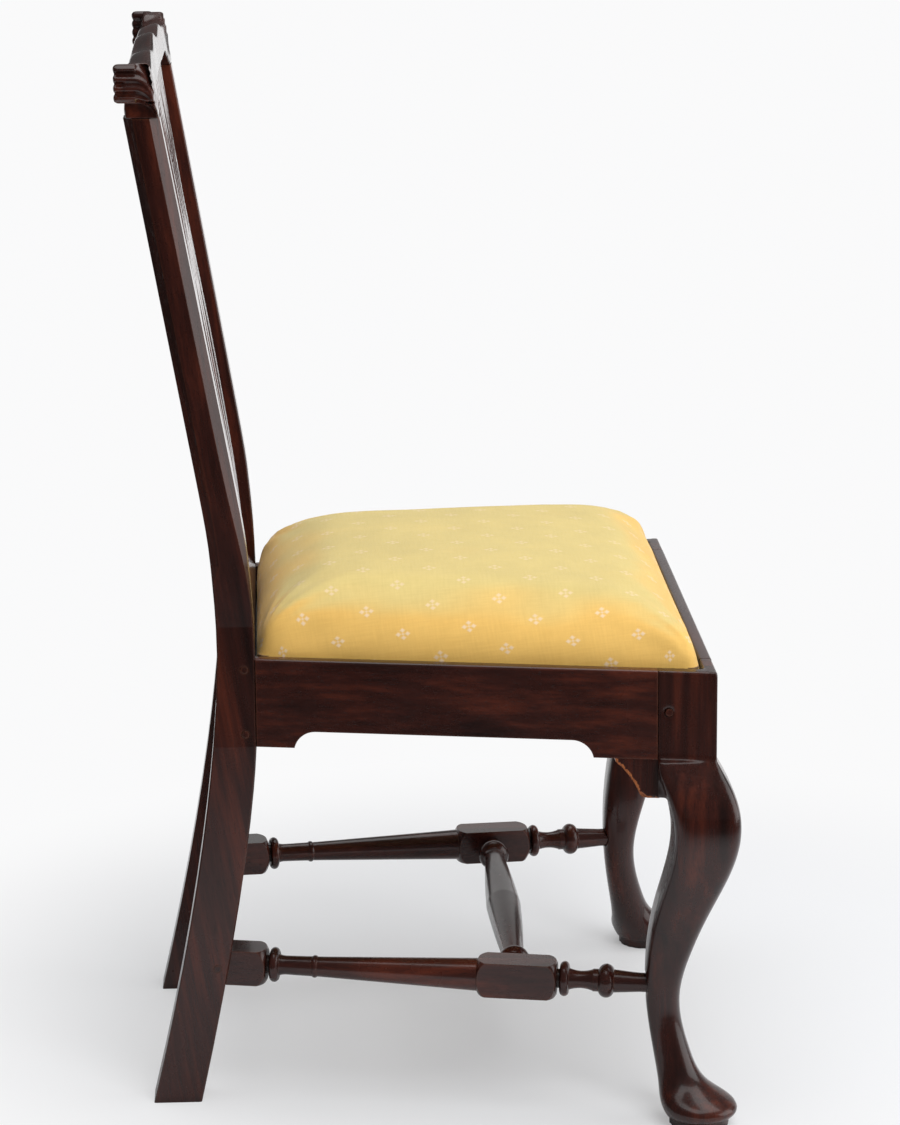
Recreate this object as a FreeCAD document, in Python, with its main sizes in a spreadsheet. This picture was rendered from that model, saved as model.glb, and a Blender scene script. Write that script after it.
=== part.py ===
import FreeCAD, Part
import math
import os
import re
from types import SimpleNamespace

import Sketcher
from FreeCAD import Placement, Rotation, Vector

doc = FreeCAD.newDocument("side_chair")
sheet = doc.addObject("Spreadsheet::Sheet", "Sizes")

# Driving sizes in millimetres; names that end in ratio have no unit.
# The chair faces -Y, its left is +X, the floor is Z = 0.
sizes = {
    # plan of the seat
    "rail_top": 425,
    "rail_height": 81,
    "rail_thickness": 30,
    "front_half_width": 266,
    "rear_half_width": 190,
    "front_face": 248,
    "stile_front": 159,
    "arch_rise": 15.5,
    "arch_curve": 19,
    "arch_rear_land": 34,
    "arch_front_land": 56,
    "lip_side": 14,
    "lip_front": 11.5,
    "rabbet_depth": 20,
    "rear_shelf": 13,
    # joinery
    "joint_clearance": 0.1,
    "tenon_thickness": 10,
    "tenon_height": 50,
    "side_tenon_length": 26,
    "front_tenon_length": 18,
    "rear_tenon_length": 14,
    "peg_diameter": 7,
    "peg_length": 22,
    "peg_inset": 10,
    "post_peg_drop": 12,
    "peg_proud": 0.4,
    "stile_peg_spread": 60,
    "tall_tenon_height": 72,
    # rear stiles
    "stile_depth": 34,
    "stile_width": 37,
    "back_rise": 490,
    "stile_top_depth": 31,
    "stile_top_width": 31,
    "flare_rise": 30,
    "flare_ratio": 0.1,
    "stile_edge": 1.2,
    "stile_front_cant": 8.5,
    "stile_back_chamfer": 8,
    "cant_rise": 37,
    "cant_length": 138,
    "tongue_rise": 71,
    "tongue_length": 16,
    "bend_length": 150,
    "rake_ratio": 0.168,
    "foot_half_span": 174,
    "foot_width": 36,
    "foot_back_sweep": 66.5,
    "foot_front_sweep": 56.5,
    "foot_back_curve_ratio": 1.55,
    "foot_front_curve_ratio": 1.35,
    "stile_tenon_width": 18,
    "stile_tenon_height": 20,
    # crest, splat and shoe
    "crest_hollow": 2,
    "crest_base_thickness": 27,
    "crest_top_thickness": 10,
    "crest_arch_height": 18,
    "crest_centre_height": 52,
    "crest_valley_height": 43,
    "crest_valley_place": 60,
    "crest_hump_height": 48,
    "crest_hump_place": 120,
    "crest_dip_height": 40,
    "crest_dip_place": 190,
    "crest_ear_height": 48,
    "ear_foot_height": 14,
    "ear_overhang": 16,
    "ear_roll_radius": 4.6,
    "ear_roll_pitch": 8.2,
    "ear_roll_length": 15,
    "ear_roll_setback": 11,
    "splat_thickness": 11,
    "splat_crest_inset": 3,
    "splat_base_half_width": 50,
    "splat_neck_half_width": 42,
    "splat_belly_half_width": 82,
    "splat_waist_half_width": 60,
    "splat_top_half_width": 112,
    "splat_tenon_shoulder": 10,
    "splat_tenon_depth": 12,
    "shoe_height": 32,
    "shoe_depth": 28,
    "shoe_cove": 9,
    "shoe_fillet": 6,
    "shoe_housing_depth": 14,
    # front legs
    "post_width": 52,
    "post_length": 52,
    "knee_block_drop": 36,
    "brow_drop": 21,
    "brow_reach": 12,
    "brow_width": 60,
    "knee_drop": 59,
    "knee_reach": 21.6,
    "knee_width": 60.5,
    "calf_drop": 136,
    "calf_reach": 0.5,
    "calf_width": 51.6,
    "shin_height": 150,
    "shin_reach": -20.5,
    "shin_width": 38,
    "ankle_height": 108,
    "ankle_reach": -27.6,
    "ankle_width": 30.5,
    "instep_height": 62,
    "instep_reach": -18.4,
    "instep_width": 33.6,
    "toe_height": 33,
    "toe_reach": 0,
    "toe_width": 48,
    "disc_height": 18,
    "disc_reach": 21.8,
    "disc_width": 68,
    "sole_height": 9,
    "sole_reach": 17.3,
    "sole_width": 59,
    "pad_diameter": 54,
    "bracket_length": 41,
    "bracket_land": 14,
    "bracket_thickness": 24,
    # stretchers
    "stretcher_rear_height": 131,
    "stretcher_front_height": 123,
    "block_size": 32.5,
    "rear_block_length": 36,
    "middle_block_gap": 81,
    "middle_block_length": 73,
    "neck_diameter": 17.5,
    "ring_diameter": 32,
    "ring_width": 8,
    "small_ring_place": 80,
    "small_ring_diameter": 20.7,
    "small_ring_width": 5,
    "taper_diameter": 30,
    "front_bulb_gap": 36,
    "front_bulb_diameter": 31,
    "front_bulb_width": 14,
    "side_stretcher_tenon": 22,
    "side_stretcher_tenon_height": 20,
    "front_stretcher_tenon": 20,
    "medial_diameter": 33,
    "medial_neck_diameter": 19.5,
    "medial_ball_diameter": 30,
    "medial_ball_place": 24,
    "medial_tenon_diameter": 14,
    "medial_tenon_length": 12,
    "rear_stretcher_height": 172,
    "rear_stretcher_diameter": 27,
    "rear_stretcher_tenon_diameter": 16,
    "rear_stretcher_tenon_length": 16,
    "rear_stretcher_bead": 1,
    # corner blocks
    "corner_block_height": 38,
    "corner_block_drop": 4,
    "front_block_reach": 62,
    "rear_block_reach": 58,
    # slip seat
    "seat_clearance": 0.8,
    "seat_frame_width": 58,
    "seat_frame_thickness": 18,
    "webbing_thickness": 1.2,
    "webbing_width": 50,
    "webbing_pitch": 84,
    "webbing_edge": 14,
    "sackcloth_thickness": 1,
    "layer_clearance": 0.3,
    "cover_thickness": 1.5,
    "cover_flap": 34,
    "cushion_wall": 14,
    "cushion_height": 62,
    "cushion_crown": 5,
    "cushion_round": 58,
    "cushion_crown_inset": 120,
    "cushion_corner": 8,
    "cushion_corner_ratio": 1.1,
    "cushion_front_drop": 8,
    "tack_inset": 25,
    "tack_pitch": 55,
    "tack_head_diameter": 8,
    "tack_head_thickness": 1,
    "tack_shank_diameter": 1.8,
    "tack_shank_length": 10,
}

# Sizes that follow from the driving ones
derived = {
    "rail_bottom": "rail_top - rail_height",
    "shelf_level": "rail_top - rabbet_depth",
    "splay": "(front_half_width - rear_half_width) / (front_face + stile_front)",
    "slant": "sqrt(1 + splay * splay)",
    "seam": "post_length - front_face",
    "post_inner": "front_half_width - post_width",
    "stile_inner": "rear_half_width - stile_width",
    "rail_span": "rail_thickness * slant",
    "arch_radius": "(arch_curve * arch_curve + arch_rise * arch_rise) / (2 * arch_rise)",
    "tenon_bottom": "rail_bottom + (shelf_level - rail_bottom - tenon_height) / 2",
    "seam_middle": "front_half_width - splay * post_length - rail_span / 2",
    "stile_middle": "rear_half_width - rail_span / 2",
    "bracket_bottom": "rail_bottom - knee_block_drop",
    "frame_bottom": "shelf_level + cover_thickness",
    "frame_top": "frame_bottom + seat_frame_thickness",
    "seat_front": "lip_front + seat_clearance - front_face",
    "seat_rear": "stile_front - seat_clearance",
    "seat_inset": "(lip_side + seat_clearance) * slant",
    "frame_edge": "cover_thickness + layer_clearance",
    "frame_front": "seat_front + frame_edge",
    "frame_rear": "seat_rear - frame_edge",
    "frame_inset": "seat_inset + frame_edge * slant",
    "frame_span": "seat_frame_width * slant",
    "block_top": "shelf_level - corner_block_drop",
    "peg_z": "tenon_bottom + tenon_height - post_peg_drop",
    "stile_peg_z": "tenon_bottom + tall_tenon_height / 2",
    "peg_bore": "peg_diameter + 2 * joint_clearance",
    "stile_top": "rail_top + back_rise",
    "shoe_top": "rail_top + shoe_height",
    "shoe_cove_radius": "((shoe_height - shoe_fillet) * (shoe_height - shoe_fillet) + shoe_cove * shoe_cove)"
                        " / (2 * shoe_cove)",
    "bracket_radius": "knee_block_drop + bracket_length",
    "splat_base": "stile_front + (shoe_depth - splat_thickness) / 2",
    "splat_tenon_half_width": "splat_base_half_width - splat_tenon_shoulder",
    "stretcher_seat": "stile_front + foot_front_sweep"
                      " * (1 - stretcher_rear_height / rail_bottom) ^ foot_front_curve_ratio",
    "stretcher_outer": "foot_half_span"
                       " + (rear_half_width - foot_half_span) * stretcher_rear_height / rail_bottom",
}

names = list(sizes) + list(derived)
for row, name in enumerate(names, 1):
    text = str(sizes[name]) if name in sizes else "=" + derived[name]
    sheet.set("A%d" % row, name)
    sheet.set("B%d" % row, text)
    sheet.setAlias("B%d" % row, name)
doc.recompute()


def bind(text):
    return re.sub(r"[a-z][a-z_]+", "Sizes.\\g<0>", text)


def value(text):
    return float(sheet.evalExpression(bind(text)))


def side_text(side, text):
    return text if side > 0 else "-(%s)" % text


def outer_x(y_text):
    return "front_half_width - splay * (%s + front_face)" % y_text


# Sketches on the body's own planes, each corner bound to the sheet

def place_sketch(body, name, plane, level):
    sketch = body.newObject("Sketcher::SketchObject", name)
    planes = [item for item in body.Origin.OriginFeatures if item.Role == plane]
    sketch.AttachmentSupport = [(planes[0], "")]
    sketch.MapMode = "FlatFace"
    if level:
        sketch.setExpression("AttachmentOffset.Base.z", bind(level))
    return sketch


def arc_between(start, end, radius, turn):
    chord = end - start
    half = chord.Length / 2
    across = Vector(-chord.y, chord.x, 0).normalize()
    centre = start + chord * 0.5 + across * (turn * math.sqrt(max(radius * radius - half * half, 0)))
    first, last = (start, end) if turn > 0 else (end, start)
    angles = [math.atan2(point.y - centre.y, point.x - centre.x) for point in (first, last)]
    if angles[1] < angles[0]:
        angles[1] += 2 * math.pi
    return Part.ArcOfCircle(Part.Circle(centre, Vector(0, 0, 1), radius), angles[0], angles[1])


def outline(body, name, plane, level, corners):
    # a corner is (x, y), or (x, y, radius, turn) where an arc arrives at it
    sketch = place_sketch(body, name, plane, level)
    points = [Vector(value(corner[0]), value(corner[1]), 0) for corner in corners]
    edges = []
    for index, corner in enumerate(corners):
        start = points[index - 1]
        end = points[index]
        if len(corner) == 2:
            edges.append((sketch.addGeometry(Part.LineSegment(start, end)), 1, 2))
            continue
        arc = arc_between(start, end, value(corner[2]), corner[3])
        ends = (1, 2) if corner[3] > 0 else (2, 1)
        edges.append((sketch.addGeometry(arc),) + ends)
    for index, (edge, first, last) in enumerate(edges):
        after = edges[(index + 1) % len(edges)]
        sketch.addConstraint(Sketcher.Constraint("Coincident", edge, last, after[0], after[1]))
    for (edge, first, last), corner, point in zip(edges, corners, points):
        for kind, text, start in (("DistanceX", corner[0], point.x), ("DistanceY", corner[1], point.y)):
            number = sketch.addConstraint(Sketcher.Constraint(kind, -1, 1, edge, last, start))
            sketch.setExpression("Constraints[%d]" % number, bind(text))
        if len(corner) > 2:
            number = sketch.addConstraint(Sketcher.Constraint("Radius", edge, value(corner[2])))
            sketch.setExpression("Constraints[%d]" % number, bind(corner[2]))
    return sketch


def circles(body, name, plane, centres, diameter):
    sketch = place_sketch(body, name, plane, None)
    for centre in centres:
        middle = Vector(value(centre[0]), value(centre[1]), 0)
        edge = sketch.addGeometry(Part.Circle(middle, Vector(0, 0, 1), value(diameter) / 2))
        number = sketch.addConstraint(Sketcher.Constraint("Diameter", edge, value(diameter)))
        sketch.setExpression("Constraints[%d]" % number, bind(diameter))
        for kind, text in (("DistanceX", centre[0]), ("DistanceY", centre[1])):
            number = sketch.addConstraint(Sketcher.Constraint(kind, -1, 1, edge, 3, value(text)))
            sketch.setExpression("Constraints[%d]" % number, bind(text))
    return sketch


def new_body(label):
    body = doc.addObject("PartDesign::Body", label)
    body.Label = label
    return body


def pad(body, sketch, length):
    feature = body.newObject("PartDesign::Pad", sketch.Name + "_pad")
    feature.Profile = sketch
    feature.setExpression("Length", bind(length))
    return feature


def pad_both_ways(body, sketch, length):
    feature = pad(body, sketch, length)
    feature.SideType = "Symmetric"
    return feature


def pocket(body, sketch, depth):
    feature = body.newObject("PartDesign::Pocket", sketch.Name + "_pocket")
    feature.Profile = sketch
    feature.setExpression("Length", bind(depth))
    return feature


def pocket_through(body, sketch):
    feature = body.newObject("PartDesign::Pocket", sketch.Name + "_pocket")
    feature.Profile = sketch
    feature.Type = "ThroughAll"
    feature.SideType = "Symmetric"
    return feature


def add_feature(label, shape, placement=None):
    feature = doc.addObject("Part::Feature", label)
    feature.Label = label
    feature.Shape = shape
    if placement is not None:
        feature.Placement = placement
    return feature


dim = SimpleNamespace(**{name: float(sheet.get(name)) for name in names})
nodes = []
sides = (("left", 1), ("right", -1))
stile_peg_levels = ("stile_peg_z - stile_peg_spread / 2", "stile_peg_z + stile_peg_spread / 2")

# Seat rails


def side_rail(label, side):
    body = new_body(label)
    front = "seam"
    rear = "stile_front"
    corners = []
    for y_text, inward in ((front, "0"), (rear, "0"), (rear, "rail_span"), (front, "rail_span")):
        corners.append((side_text(side, outer_x(y_text) + " - " + inward), y_text))
    pad(body, outline(body, label + "_plan", "XY_Plane", "rail_bottom", corners), "rail_height")

    arch_front = "seam + arch_front_land"
    arch_rear = "stile_front - arch_rear_land"
    arch = [
        (arch_front, "rail_bottom", "arch_radius", 1),
        (arch_rear, "rail_bottom"),
        (arch_rear + " - arch_curve", "rail_bottom + arch_rise", "arch_radius", 1),
        (arch_front + " + arch_curve", "rail_bottom + arch_rise"),
    ]
    pocket_through(body, outline(body, label + "_arch", "YZ_Plane", None, arch))

    rabbet = []
    for y_text, inward in ((front, "lip_side * slant"), (rear, "lip_side * slant"),
                           (rear, "rail_span + lip_side"), (front, "rail_span + lip_side")):
        rabbet.append((side_text(side, outer_x(y_text) + " - (%s)" % inward), y_text))
    pocket(body, outline(body, label + "_rabbet", "XY_Plane", "rail_top", rabbet), "rabbet_depth")

    for end, middle, start, reach, height in (
        ("front", "seam_middle", "seam", "seam - side_tenon_length", "tenon_height"),
        ("rear", "stile_middle", "stile_front", "stile_front + side_tenon_length", "tall_tenon_height"),
    ):
        tenon = [
            (side_text(side, middle + " - tenon_thickness / 2"), start),
            (side_text(side, middle + " + tenon_thickness / 2"), start),
            (side_text(side, middle + " + tenon_thickness / 2"), reach),
            (side_text(side, middle + " - tenon_thickness / 2"), reach),
        ]
        tenon_sketch = outline(body, label + "_" + end + "_tenon", "XY_Plane", "tenon_bottom", tenon)
        pad(body, tenon_sketch, height)
    holes = [("seam - peg_inset", "peg_z")] + [("stile_front + peg_inset", text) for text in stile_peg_levels]
    pocket_through(body, circles(body, label + "_peg_holes", "YZ_Plane", holes, "peg_bore"))
    return body


def front_rail(label):
    body = new_body(label)
    corners = [
        ("-(post_inner)", "-(front_face)"),
        ("post_inner", "-(front_face)"),
        ("post_inner", "rail_thickness - front_face"),
        ("-(post_inner)", "rail_thickness - front_face"),
    ]
    pad(body, outline(body, label + "_plan", "XY_Plane", "rail_bottom", corners), "rail_height")
    rabbet = [
        ("-(post_inner)", "lip_front - front_face"),
        ("post_inner", "lip_front - front_face"),
        ("post_inner", "rail_thickness + lip_front - front_face"),
        ("-(post_inner)", "rail_thickness + lip_front - front_face"),
    ]
    pocket(body, outline(body, label + "_rabbet", "XY_Plane", "rail_top", rabbet), "rabbet_depth")
    middle = "rail_thickness / 2 - front_face"
    reach = "post_inner + front_tenon_length"
    tenon = [
        ("-(%s)" % reach, middle + " - tenon_thickness / 2"),
        (reach, middle + " - tenon_thickness / 2"),
        (reach, middle + " + tenon_thickness / 2"),
        ("-(%s)" % reach, middle + " + tenon_thickness / 2"),
    ]
    pad(body, outline(body, label + "_tenon", "XY_Plane", "tenon_bottom", tenon), "tenon_height")
    land = "post_inner - arch_front_land"
    arch = [
        ("-(%s)" % land, "rail_bottom", "arch_radius", 1),
        (land, "rail_bottom"),
        (land + " - arch_curve", "rail_bottom + arch_rise", "arch_radius", 1),
        ("-(%s - arch_curve)" % land, "rail_bottom + arch_rise"),
    ]
    pocket_through(body, outline(body, label + "_arch", "XZ_Plane", None, arch))
    return body


def rear_rail(label):
    body = new_body(label)
    front = "stile_front - rear_shelf"
    back = "stile_front + shoe_depth"
    corners = [
        ("-(stile_inner)", front),
        ("stile_inner", front),
        ("stile_inner", back),
        ("-(stile_inner)", back),
    ]
    pad(body, outline(body, label + "_plan", "XY_Plane", "rail_bottom", corners), "rail_height")
    rabbet = [
        ("-(stile_inner)", front + " - rear_shelf"),
        ("stile_inner", front + " - rear_shelf"),
        ("stile_inner", "stile_front"),
        ("-(stile_inner)", "stile_front"),
    ]
    pocket(body, outline(body, label + "_rabbet", "XY_Plane", "rail_top", rabbet), "rabbet_depth")
    middle = "stile_front + stile_depth / 2"
    reach = "stile_inner + rear_tenon_length"
    tenon = [
        ("-(%s)" % reach, middle + " - tenon_thickness / 2"),
        (reach, middle + " - tenon_thickness / 2"),
        (reach, middle + " + tenon_thickness / 2"),
        ("-(%s)" % reach, middle + " + tenon_thickness / 2"),
    ]
    pad(body, outline(body, label + "_tenon", "XY_Plane", "tenon_bottom", tenon), "tenon_height")
    return body

# Shared curves and solids


def ramp(start, end, z):
    share = min(max((z - start) / (end - start), 0), 1)
    return share * share * (3 - 2 * share)


def prism(points, bottom, height):
    corners = [Vector(x, y, bottom) for x, y in points]
    return Part.Face(Part.makePolygon(corners + corners[:1])).extrude(Vector(0, 0, height))


def block(x_range, y_range, z_range):
    corner = Vector(min(x_range), min(y_range), min(z_range))
    spans = [abs(ends[1] - ends[0]) for ends in (x_range, y_range, z_range)]
    return Part.makeBox(spans[0], spans[1], spans[2], corner)


def rounded(corners, radius):
    arcs = []
    for index, here in enumerate(corners):
        back = (corners[index - 1] - here).normalize()
        ahead = (corners[(index + 1) % len(corners)] - here).normalize()
        half = back.getAngle(ahead) / 2
        reach = radius / math.tan(half)
        bisector = (back + ahead).normalize()
        middle = here + bisector * (radius / math.sin(half) - radius)
        arcs.append((here + back * reach, middle, here + ahead * reach))
    edges = []
    for index, (entry, middle, leave) in enumerate(arcs):
        edges.append(Part.Arc(entry, middle, leave).toShape())
        edges.append(Part.LineSegment(leave, arcs[(index + 1) % len(arcs)][0]).toShape())
    return Part.Wire(edges)


def spline(points):
    curve = Part.BSplineCurve()
    curve.interpolate(points)
    return curve.toShape()


def outer_at(y):
    return dim.front_half_width - dim.splay * (y + dim.front_face)


# Rear stiles: raked legs below the seat, leaning and flaring uprights above it


def lean(z):
    rise = max(0, z - dim.rail_top)
    if rise < dim.bend_length:
        return dim.rake_ratio * rise * rise / (2 * dim.bend_length)
    return dim.rake_ratio * (rise - dim.bend_length / 2)


def share_above_seat(z):
    return max(0, (z - dim.rail_top) / dim.back_rise)


def stile_back_at(z):
    sweep = dim.foot_back_sweep * max(0, 1 - z / dim.rail_top) ** dim.foot_back_curve_ratio
    return dim.stile_front + dim.stile_depth + sweep + lean(z)


def stile_front_at(z):
    sweep = dim.foot_front_sweep * max(0, 1 - z / dim.rail_bottom) ** dim.foot_front_curve_ratio
    taper = (dim.stile_depth - dim.stile_top_depth) * share_above_seat(z)
    return dim.stile_front + sweep + lean(z) + taper


def stile_outer_at(z):
    if z < dim.rail_bottom:
        return dim.foot_half_span + (dim.rear_half_width - dim.foot_half_span) * z / dim.rail_bottom
    return dim.rear_half_width + dim.flare_ratio * max(0, z - dim.rail_top - dim.flare_rise)


def stile_inner_at(z):
    if z < dim.rail_bottom:
        width = dim.foot_width + (dim.stile_width - dim.foot_width) * z / dim.rail_bottom
    else:
        width = dim.stile_width - (dim.stile_width - dim.stile_top_width) * share_above_seat(z)
    return stile_outer_at(z) - width


def stile_section(side, z):
    inner = stile_inner_at(z)
    outer = stile_outer_at(z)
    front = stile_front_at(z)
    back = stile_back_at(z)
    edge = dim.stile_edge
    cant_start = dim.rail_top + dim.cant_rise
    cant = edge + (dim.stile_front_cant - edge) * ramp(cant_start, cant_start + dim.cant_length, z)
    tongue_start = dim.rail_top + dim.tongue_rise
    chamfer = edge + (dim.stile_back_chamfer - edge) * ramp(tongue_start, tongue_start + dim.tongue_length, z)
    corners = [
        (inner + edge, front),
        (outer - cant, front),
        (outer, front + cant),
        (outer, back - chamfer),
        (outer - chamfer, back),
        (inner + edge, back),
        (inner, back - edge),
        (inner, front + edge),
    ]
    points = [Vector(side * x, y, z) for x, y in corners]
    return Part.makePolygon(points + points[:1])


def stile_blank(side):
    tongue = dim.rail_top + dim.tongue_rise
    tongue_end = tongue + dim.tongue_length
    leg_stations = 6
    top_stations = 7
    leg = [dim.rail_bottom * index / leg_stations for index in range(leg_stations + 1)]
    joint = sorted([dim.rail_bottom, (dim.rail_bottom + dim.rail_top) / 2, dim.rail_top,
                    dim.rail_top + dim.flare_rise, (dim.rail_top + dim.flare_rise + tongue) / 2,
                    tongue, (tongue + tongue_end) / 2, tongue_end])
    rise = dim.stile_top - tongue_end
    top = [tongue_end + rise * index / top_stations for index in range(top_stations + 1)]
    lofts = []
    for heights, straight in ((leg, False), (joint, True), (top, False)):
        lofts.append(Part.makeLoft([stile_section(side, z) for z in heights], True, straight))
    return lofts[0].fuse(lofts[1:])


def stile_tenon(side, gap):
    middle_x = side * (stile_inner_at(dim.stile_top) + stile_outer_at(dim.stile_top)) / 2
    middle_y = (stile_front_at(dim.stile_top) + stile_back_at(dim.stile_top)) / 2
    half_x = dim.stile_tenon_width / 2 + gap
    half_y = dim.tenon_thickness / 2 + gap
    return block((middle_x - half_x, middle_x + half_x), (middle_y - half_y, middle_y + half_y),
                 (dim.stile_top, dim.stile_top + dim.stile_tenon_height + gap))


def peg_bore(side, y, z, outer):
    return Part.makeCylinder(dim.peg_bore / 2, dim.peg_length + dim.joint_clearance + dim.peg_proud,
                             Vector(side * (outer + dim.peg_proud), y, z), Vector(-side, 0, 0))


def stile(side, stretcher_cuts):
    gap = dim.joint_clearance
    half = dim.tenon_thickness / 2 + gap
    rail_mortise = block((side * (dim.stile_middle - half), side * (dim.stile_middle + half)),
                         (dim.stile_front, dim.stile_front + dim.side_tenon_length + gap),
                         (dim.tenon_bottom - gap, dim.tenon_bottom + dim.tall_tenon_height + gap))
    middle = dim.stile_front + dim.stile_depth / 2
    rear_mortise = block((side * dim.stile_inner, side * (dim.stile_inner + dim.rear_tenon_length + gap)),
                         (middle - half, middle + half),
                         (dim.tenon_bottom - gap, dim.tenon_bottom + dim.tenon_height + gap))
    cuts = [rail_mortise, rear_mortise]
    for level in stile_peg_levels:
        cuts.append(peg_bore(side, dim.stile_front + dim.peg_inset, value(level), dim.rear_half_width))
    cuts.append(peg_bore(side, dim.stretcher_seat + dim.peg_inset, dim.stretcher_rear_height,
                         dim.stretcher_outer))
    return stile_blank(side).fuse(stile_tenon(side, 0)).cut(cuts + stretcher_cuts)


# Crest rail: one curved slab trimmed to the serpentine front outline, with rolled ears


def crest_front_base():
    return stile_front_at(dim.stile_top) + dim.crest_hollow


def crest_slab():
    base = crest_front_base()
    bottom = dim.stile_top
    top = bottom + dim.crest_centre_height + dim.crest_top_thickness
    top_front = base + dim.rake_ratio * (top - bottom)
    corners = [
        Vector(0, base, bottom),
        Vector(0, top_front, top),
        Vector(0, top_front + dim.crest_top_thickness, top),
        Vector(0, base + dim.crest_base_thickness, bottom),
    ]
    bulge = (corners[2] + corners[3]) * 0.5 + Vector(0, dim.crest_base_thickness / 5, 0)
    edges = [
        Part.LineSegment(corners[0], corners[1]).toShape(),
        Part.LineSegment(corners[1], corners[2]).toShape(),
        Part.Arc(corners[2], bulge, corners[3]).toShape(),
        Part.LineSegment(corners[3], corners[0]).toShape(),
    ]
    half_span = (stile_inner_at(bottom) + stile_outer_at(bottom)) / 2
    radius = (half_span ** 2 + dim.crest_hollow ** 2) / (2 * dim.crest_hollow)
    axis = Vector(0, base - radius, 0)
    reach = math.degrees(math.asin((stile_outer_at(bottom) + 2 * dim.ear_overhang) / radius))
    face = Part.Face(Part.Wire(edges))
    face.rotate(axis, Vector(0, 0, 1), -reach)
    return face.revolve(axis, Vector(0, 0, 1), 2 * reach)


def crest_outline():
    base = dim.stile_top
    end = stile_outer_at(base)
    inner = stile_inner_at(base)
    arch_end = inner - 3 * dim.crest_arch_height
    top_half = [
        (dim.crest_valley_place, dim.crest_valley_height),
        (dim.crest_hump_place, dim.crest_hump_height),
        (dim.crest_dip_place, dim.crest_dip_height),
        (end, dim.crest_ear_height),
    ]
    top = [Vector(-x, 0, base + z) for x, z in reversed(top_half)]
    top.append(Vector(0, 0, base + dim.crest_centre_height))
    top += [Vector(x, 0, base + z) for x, z in top_half]
    edges = [spline(top)]
    tip = Vector(end + dim.ear_overhang, 0, base + (dim.crest_ear_height + dim.ear_foot_height) / 2)
    neck = Vector(end, 0, base + dim.ear_foot_height)
    foot = Vector(end, 0, base)
    arch_foot = Vector(inner - dim.stile_edge, 0, base)
    arch_bend = Vector((inner + arch_end) / 2, 0, base + dim.crest_arch_height * 0.7)
    arch_top = Vector(arch_end, 0, base + dim.crest_arch_height)
    for side in (1, -1):
        flip = FreeCAD.Matrix()
        flip.A11 = side
        points = [flip.multVec(point) for point in (top[-1], tip, neck, foot, arch_foot, arch_bend, arch_top)]
        if side < 0:
            points[0] = top[0]
        edges.append(Part.Arc(points[0], points[1], points[2]).toShape())
        edges.append(Part.LineSegment(points[2], points[3]).toShape())
        edges.append(Part.LineSegment(points[3], points[4]).toShape())
        edges.append(Part.Arc(points[4], points[5], points[6]).toShape())
    edges.append(Part.LineSegment(Vector(-arch_end, 0, arch_top.z), arch_top).toShape())
    return Part.Wire(Part.__sortEdges__(edges))


def ear_rolls(side):
    end = stile_outer_at(dim.stile_top)
    front = stile_front_at(dim.stile_top) + dim.rake_ratio * dim.crest_ear_height + dim.ear_roll_setback
    roll_count = 4
    first = dim.stile_top + dim.crest_ear_height - (roll_count - 1) * dim.ear_roll_pitch - dim.ear_roll_radius
    rolls = []
    for index in range(roll_count):
        swing = (index - (roll_count - 1) / 2) ** 2
        x = side * (end + dim.ear_overhang - dim.ear_roll_radius - swing)
        start = Vector(x, front, first + index * dim.ear_roll_pitch)
        rolls.append(Part.makeCylinder(dim.ear_roll_radius, dim.ear_roll_length, start, Vector(0, 1, 0)))
        tip = start + Vector(0, dim.ear_roll_length, 0)
        rolls.append(Part.makeSphere(dim.ear_roll_radius, tip))
    return rolls


def crest():
    start = Vector(0, -dim.stile_front, 0)
    front = Part.Face(crest_outline()).extrude(Vector(0, 5 * dim.stile_front, 0))
    front.translate(start)
    rail = crest_slab().common(front)
    rail = rail.fuse(ear_rolls(1) + ear_rolls(-1))
    gap = dim.joint_clearance
    return rail.cut([stile_tenon(1, gap), stile_tenon(-1, gap), splat_tenon(gap)])


# Splat: pierced board that stands in the shoe and is housed in the crest


def splat_front_at(z):
    house = dim.stile_top + dim.crest_arch_height
    target = crest_front_base() + dim.rake_ratio * dim.crest_arch_height + dim.splat_crest_inset
    gain = (target - dim.splat_base) / (lean(house) - lean(dim.shoe_top))
    return dim.splat_base + gain * max(0, lean(z) - lean(dim.shoe_top))


def splat_slab(gap):
    bottom = dim.shoe_top - dim.shoe_housing_depth - gap
    top = dim.stile_top + dim.crest_arch_height + dim.splat_tenon_depth + gap
    stations = 10
    heights = [dim.shoe_top + (top - dim.shoe_top) * index / stations for index in range(stations + 1)]
    front = [Vector(0, splat_front_at(z) - gap, z) for z in heights]
    back = [Vector(0, splat_front_at(z) + dim.splat_thickness + gap, z) for z in heights]
    low_front = Vector(0, front[0].y, bottom)
    low_back = Vector(0, back[0].y, bottom)
    edges = [
        spline(front),
        Part.LineSegment(front[-1], back[-1]).toShape(),
        spline(back),
        Part.LineSegment(back[0], low_back).toShape(),
        Part.LineSegment(low_back, low_front).toShape(),
        Part.LineSegment(low_front, front[0]).toShape(),
    ]
    half = dim.splat_top_half_width + dim.splat_thickness
    slab = Part.Face(Part.Wire(edges)).extrude(Vector(2 * half, 0, 0))
    slab.translate(Vector(-half, 0, 0))
    return slab


def splat_height(share):
    return dim.shoe_top + share * (dim.stile_top + dim.crest_arch_height - dim.shoe_top)


def splat_edge():
    stations = (
        (0, dim.splat_base_half_width),
        (0.1, dim.splat_neck_half_width),
        (0.42, dim.splat_belly_half_width),
        (0.66, dim.splat_waist_half_width),
        (1, dim.splat_top_half_width),
    )
    curve = Part.BSplineCurve()
    curve.interpolate([Vector(half, 0, splat_height(share)) for share, half in stations])
    return curve


def splat_half_width(share):
    level = Part.Line(Vector(0, 0, splat_height(share)), Vector(1, 0, splat_height(share)))
    return splat_edge().intersect(level)[0].X


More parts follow.
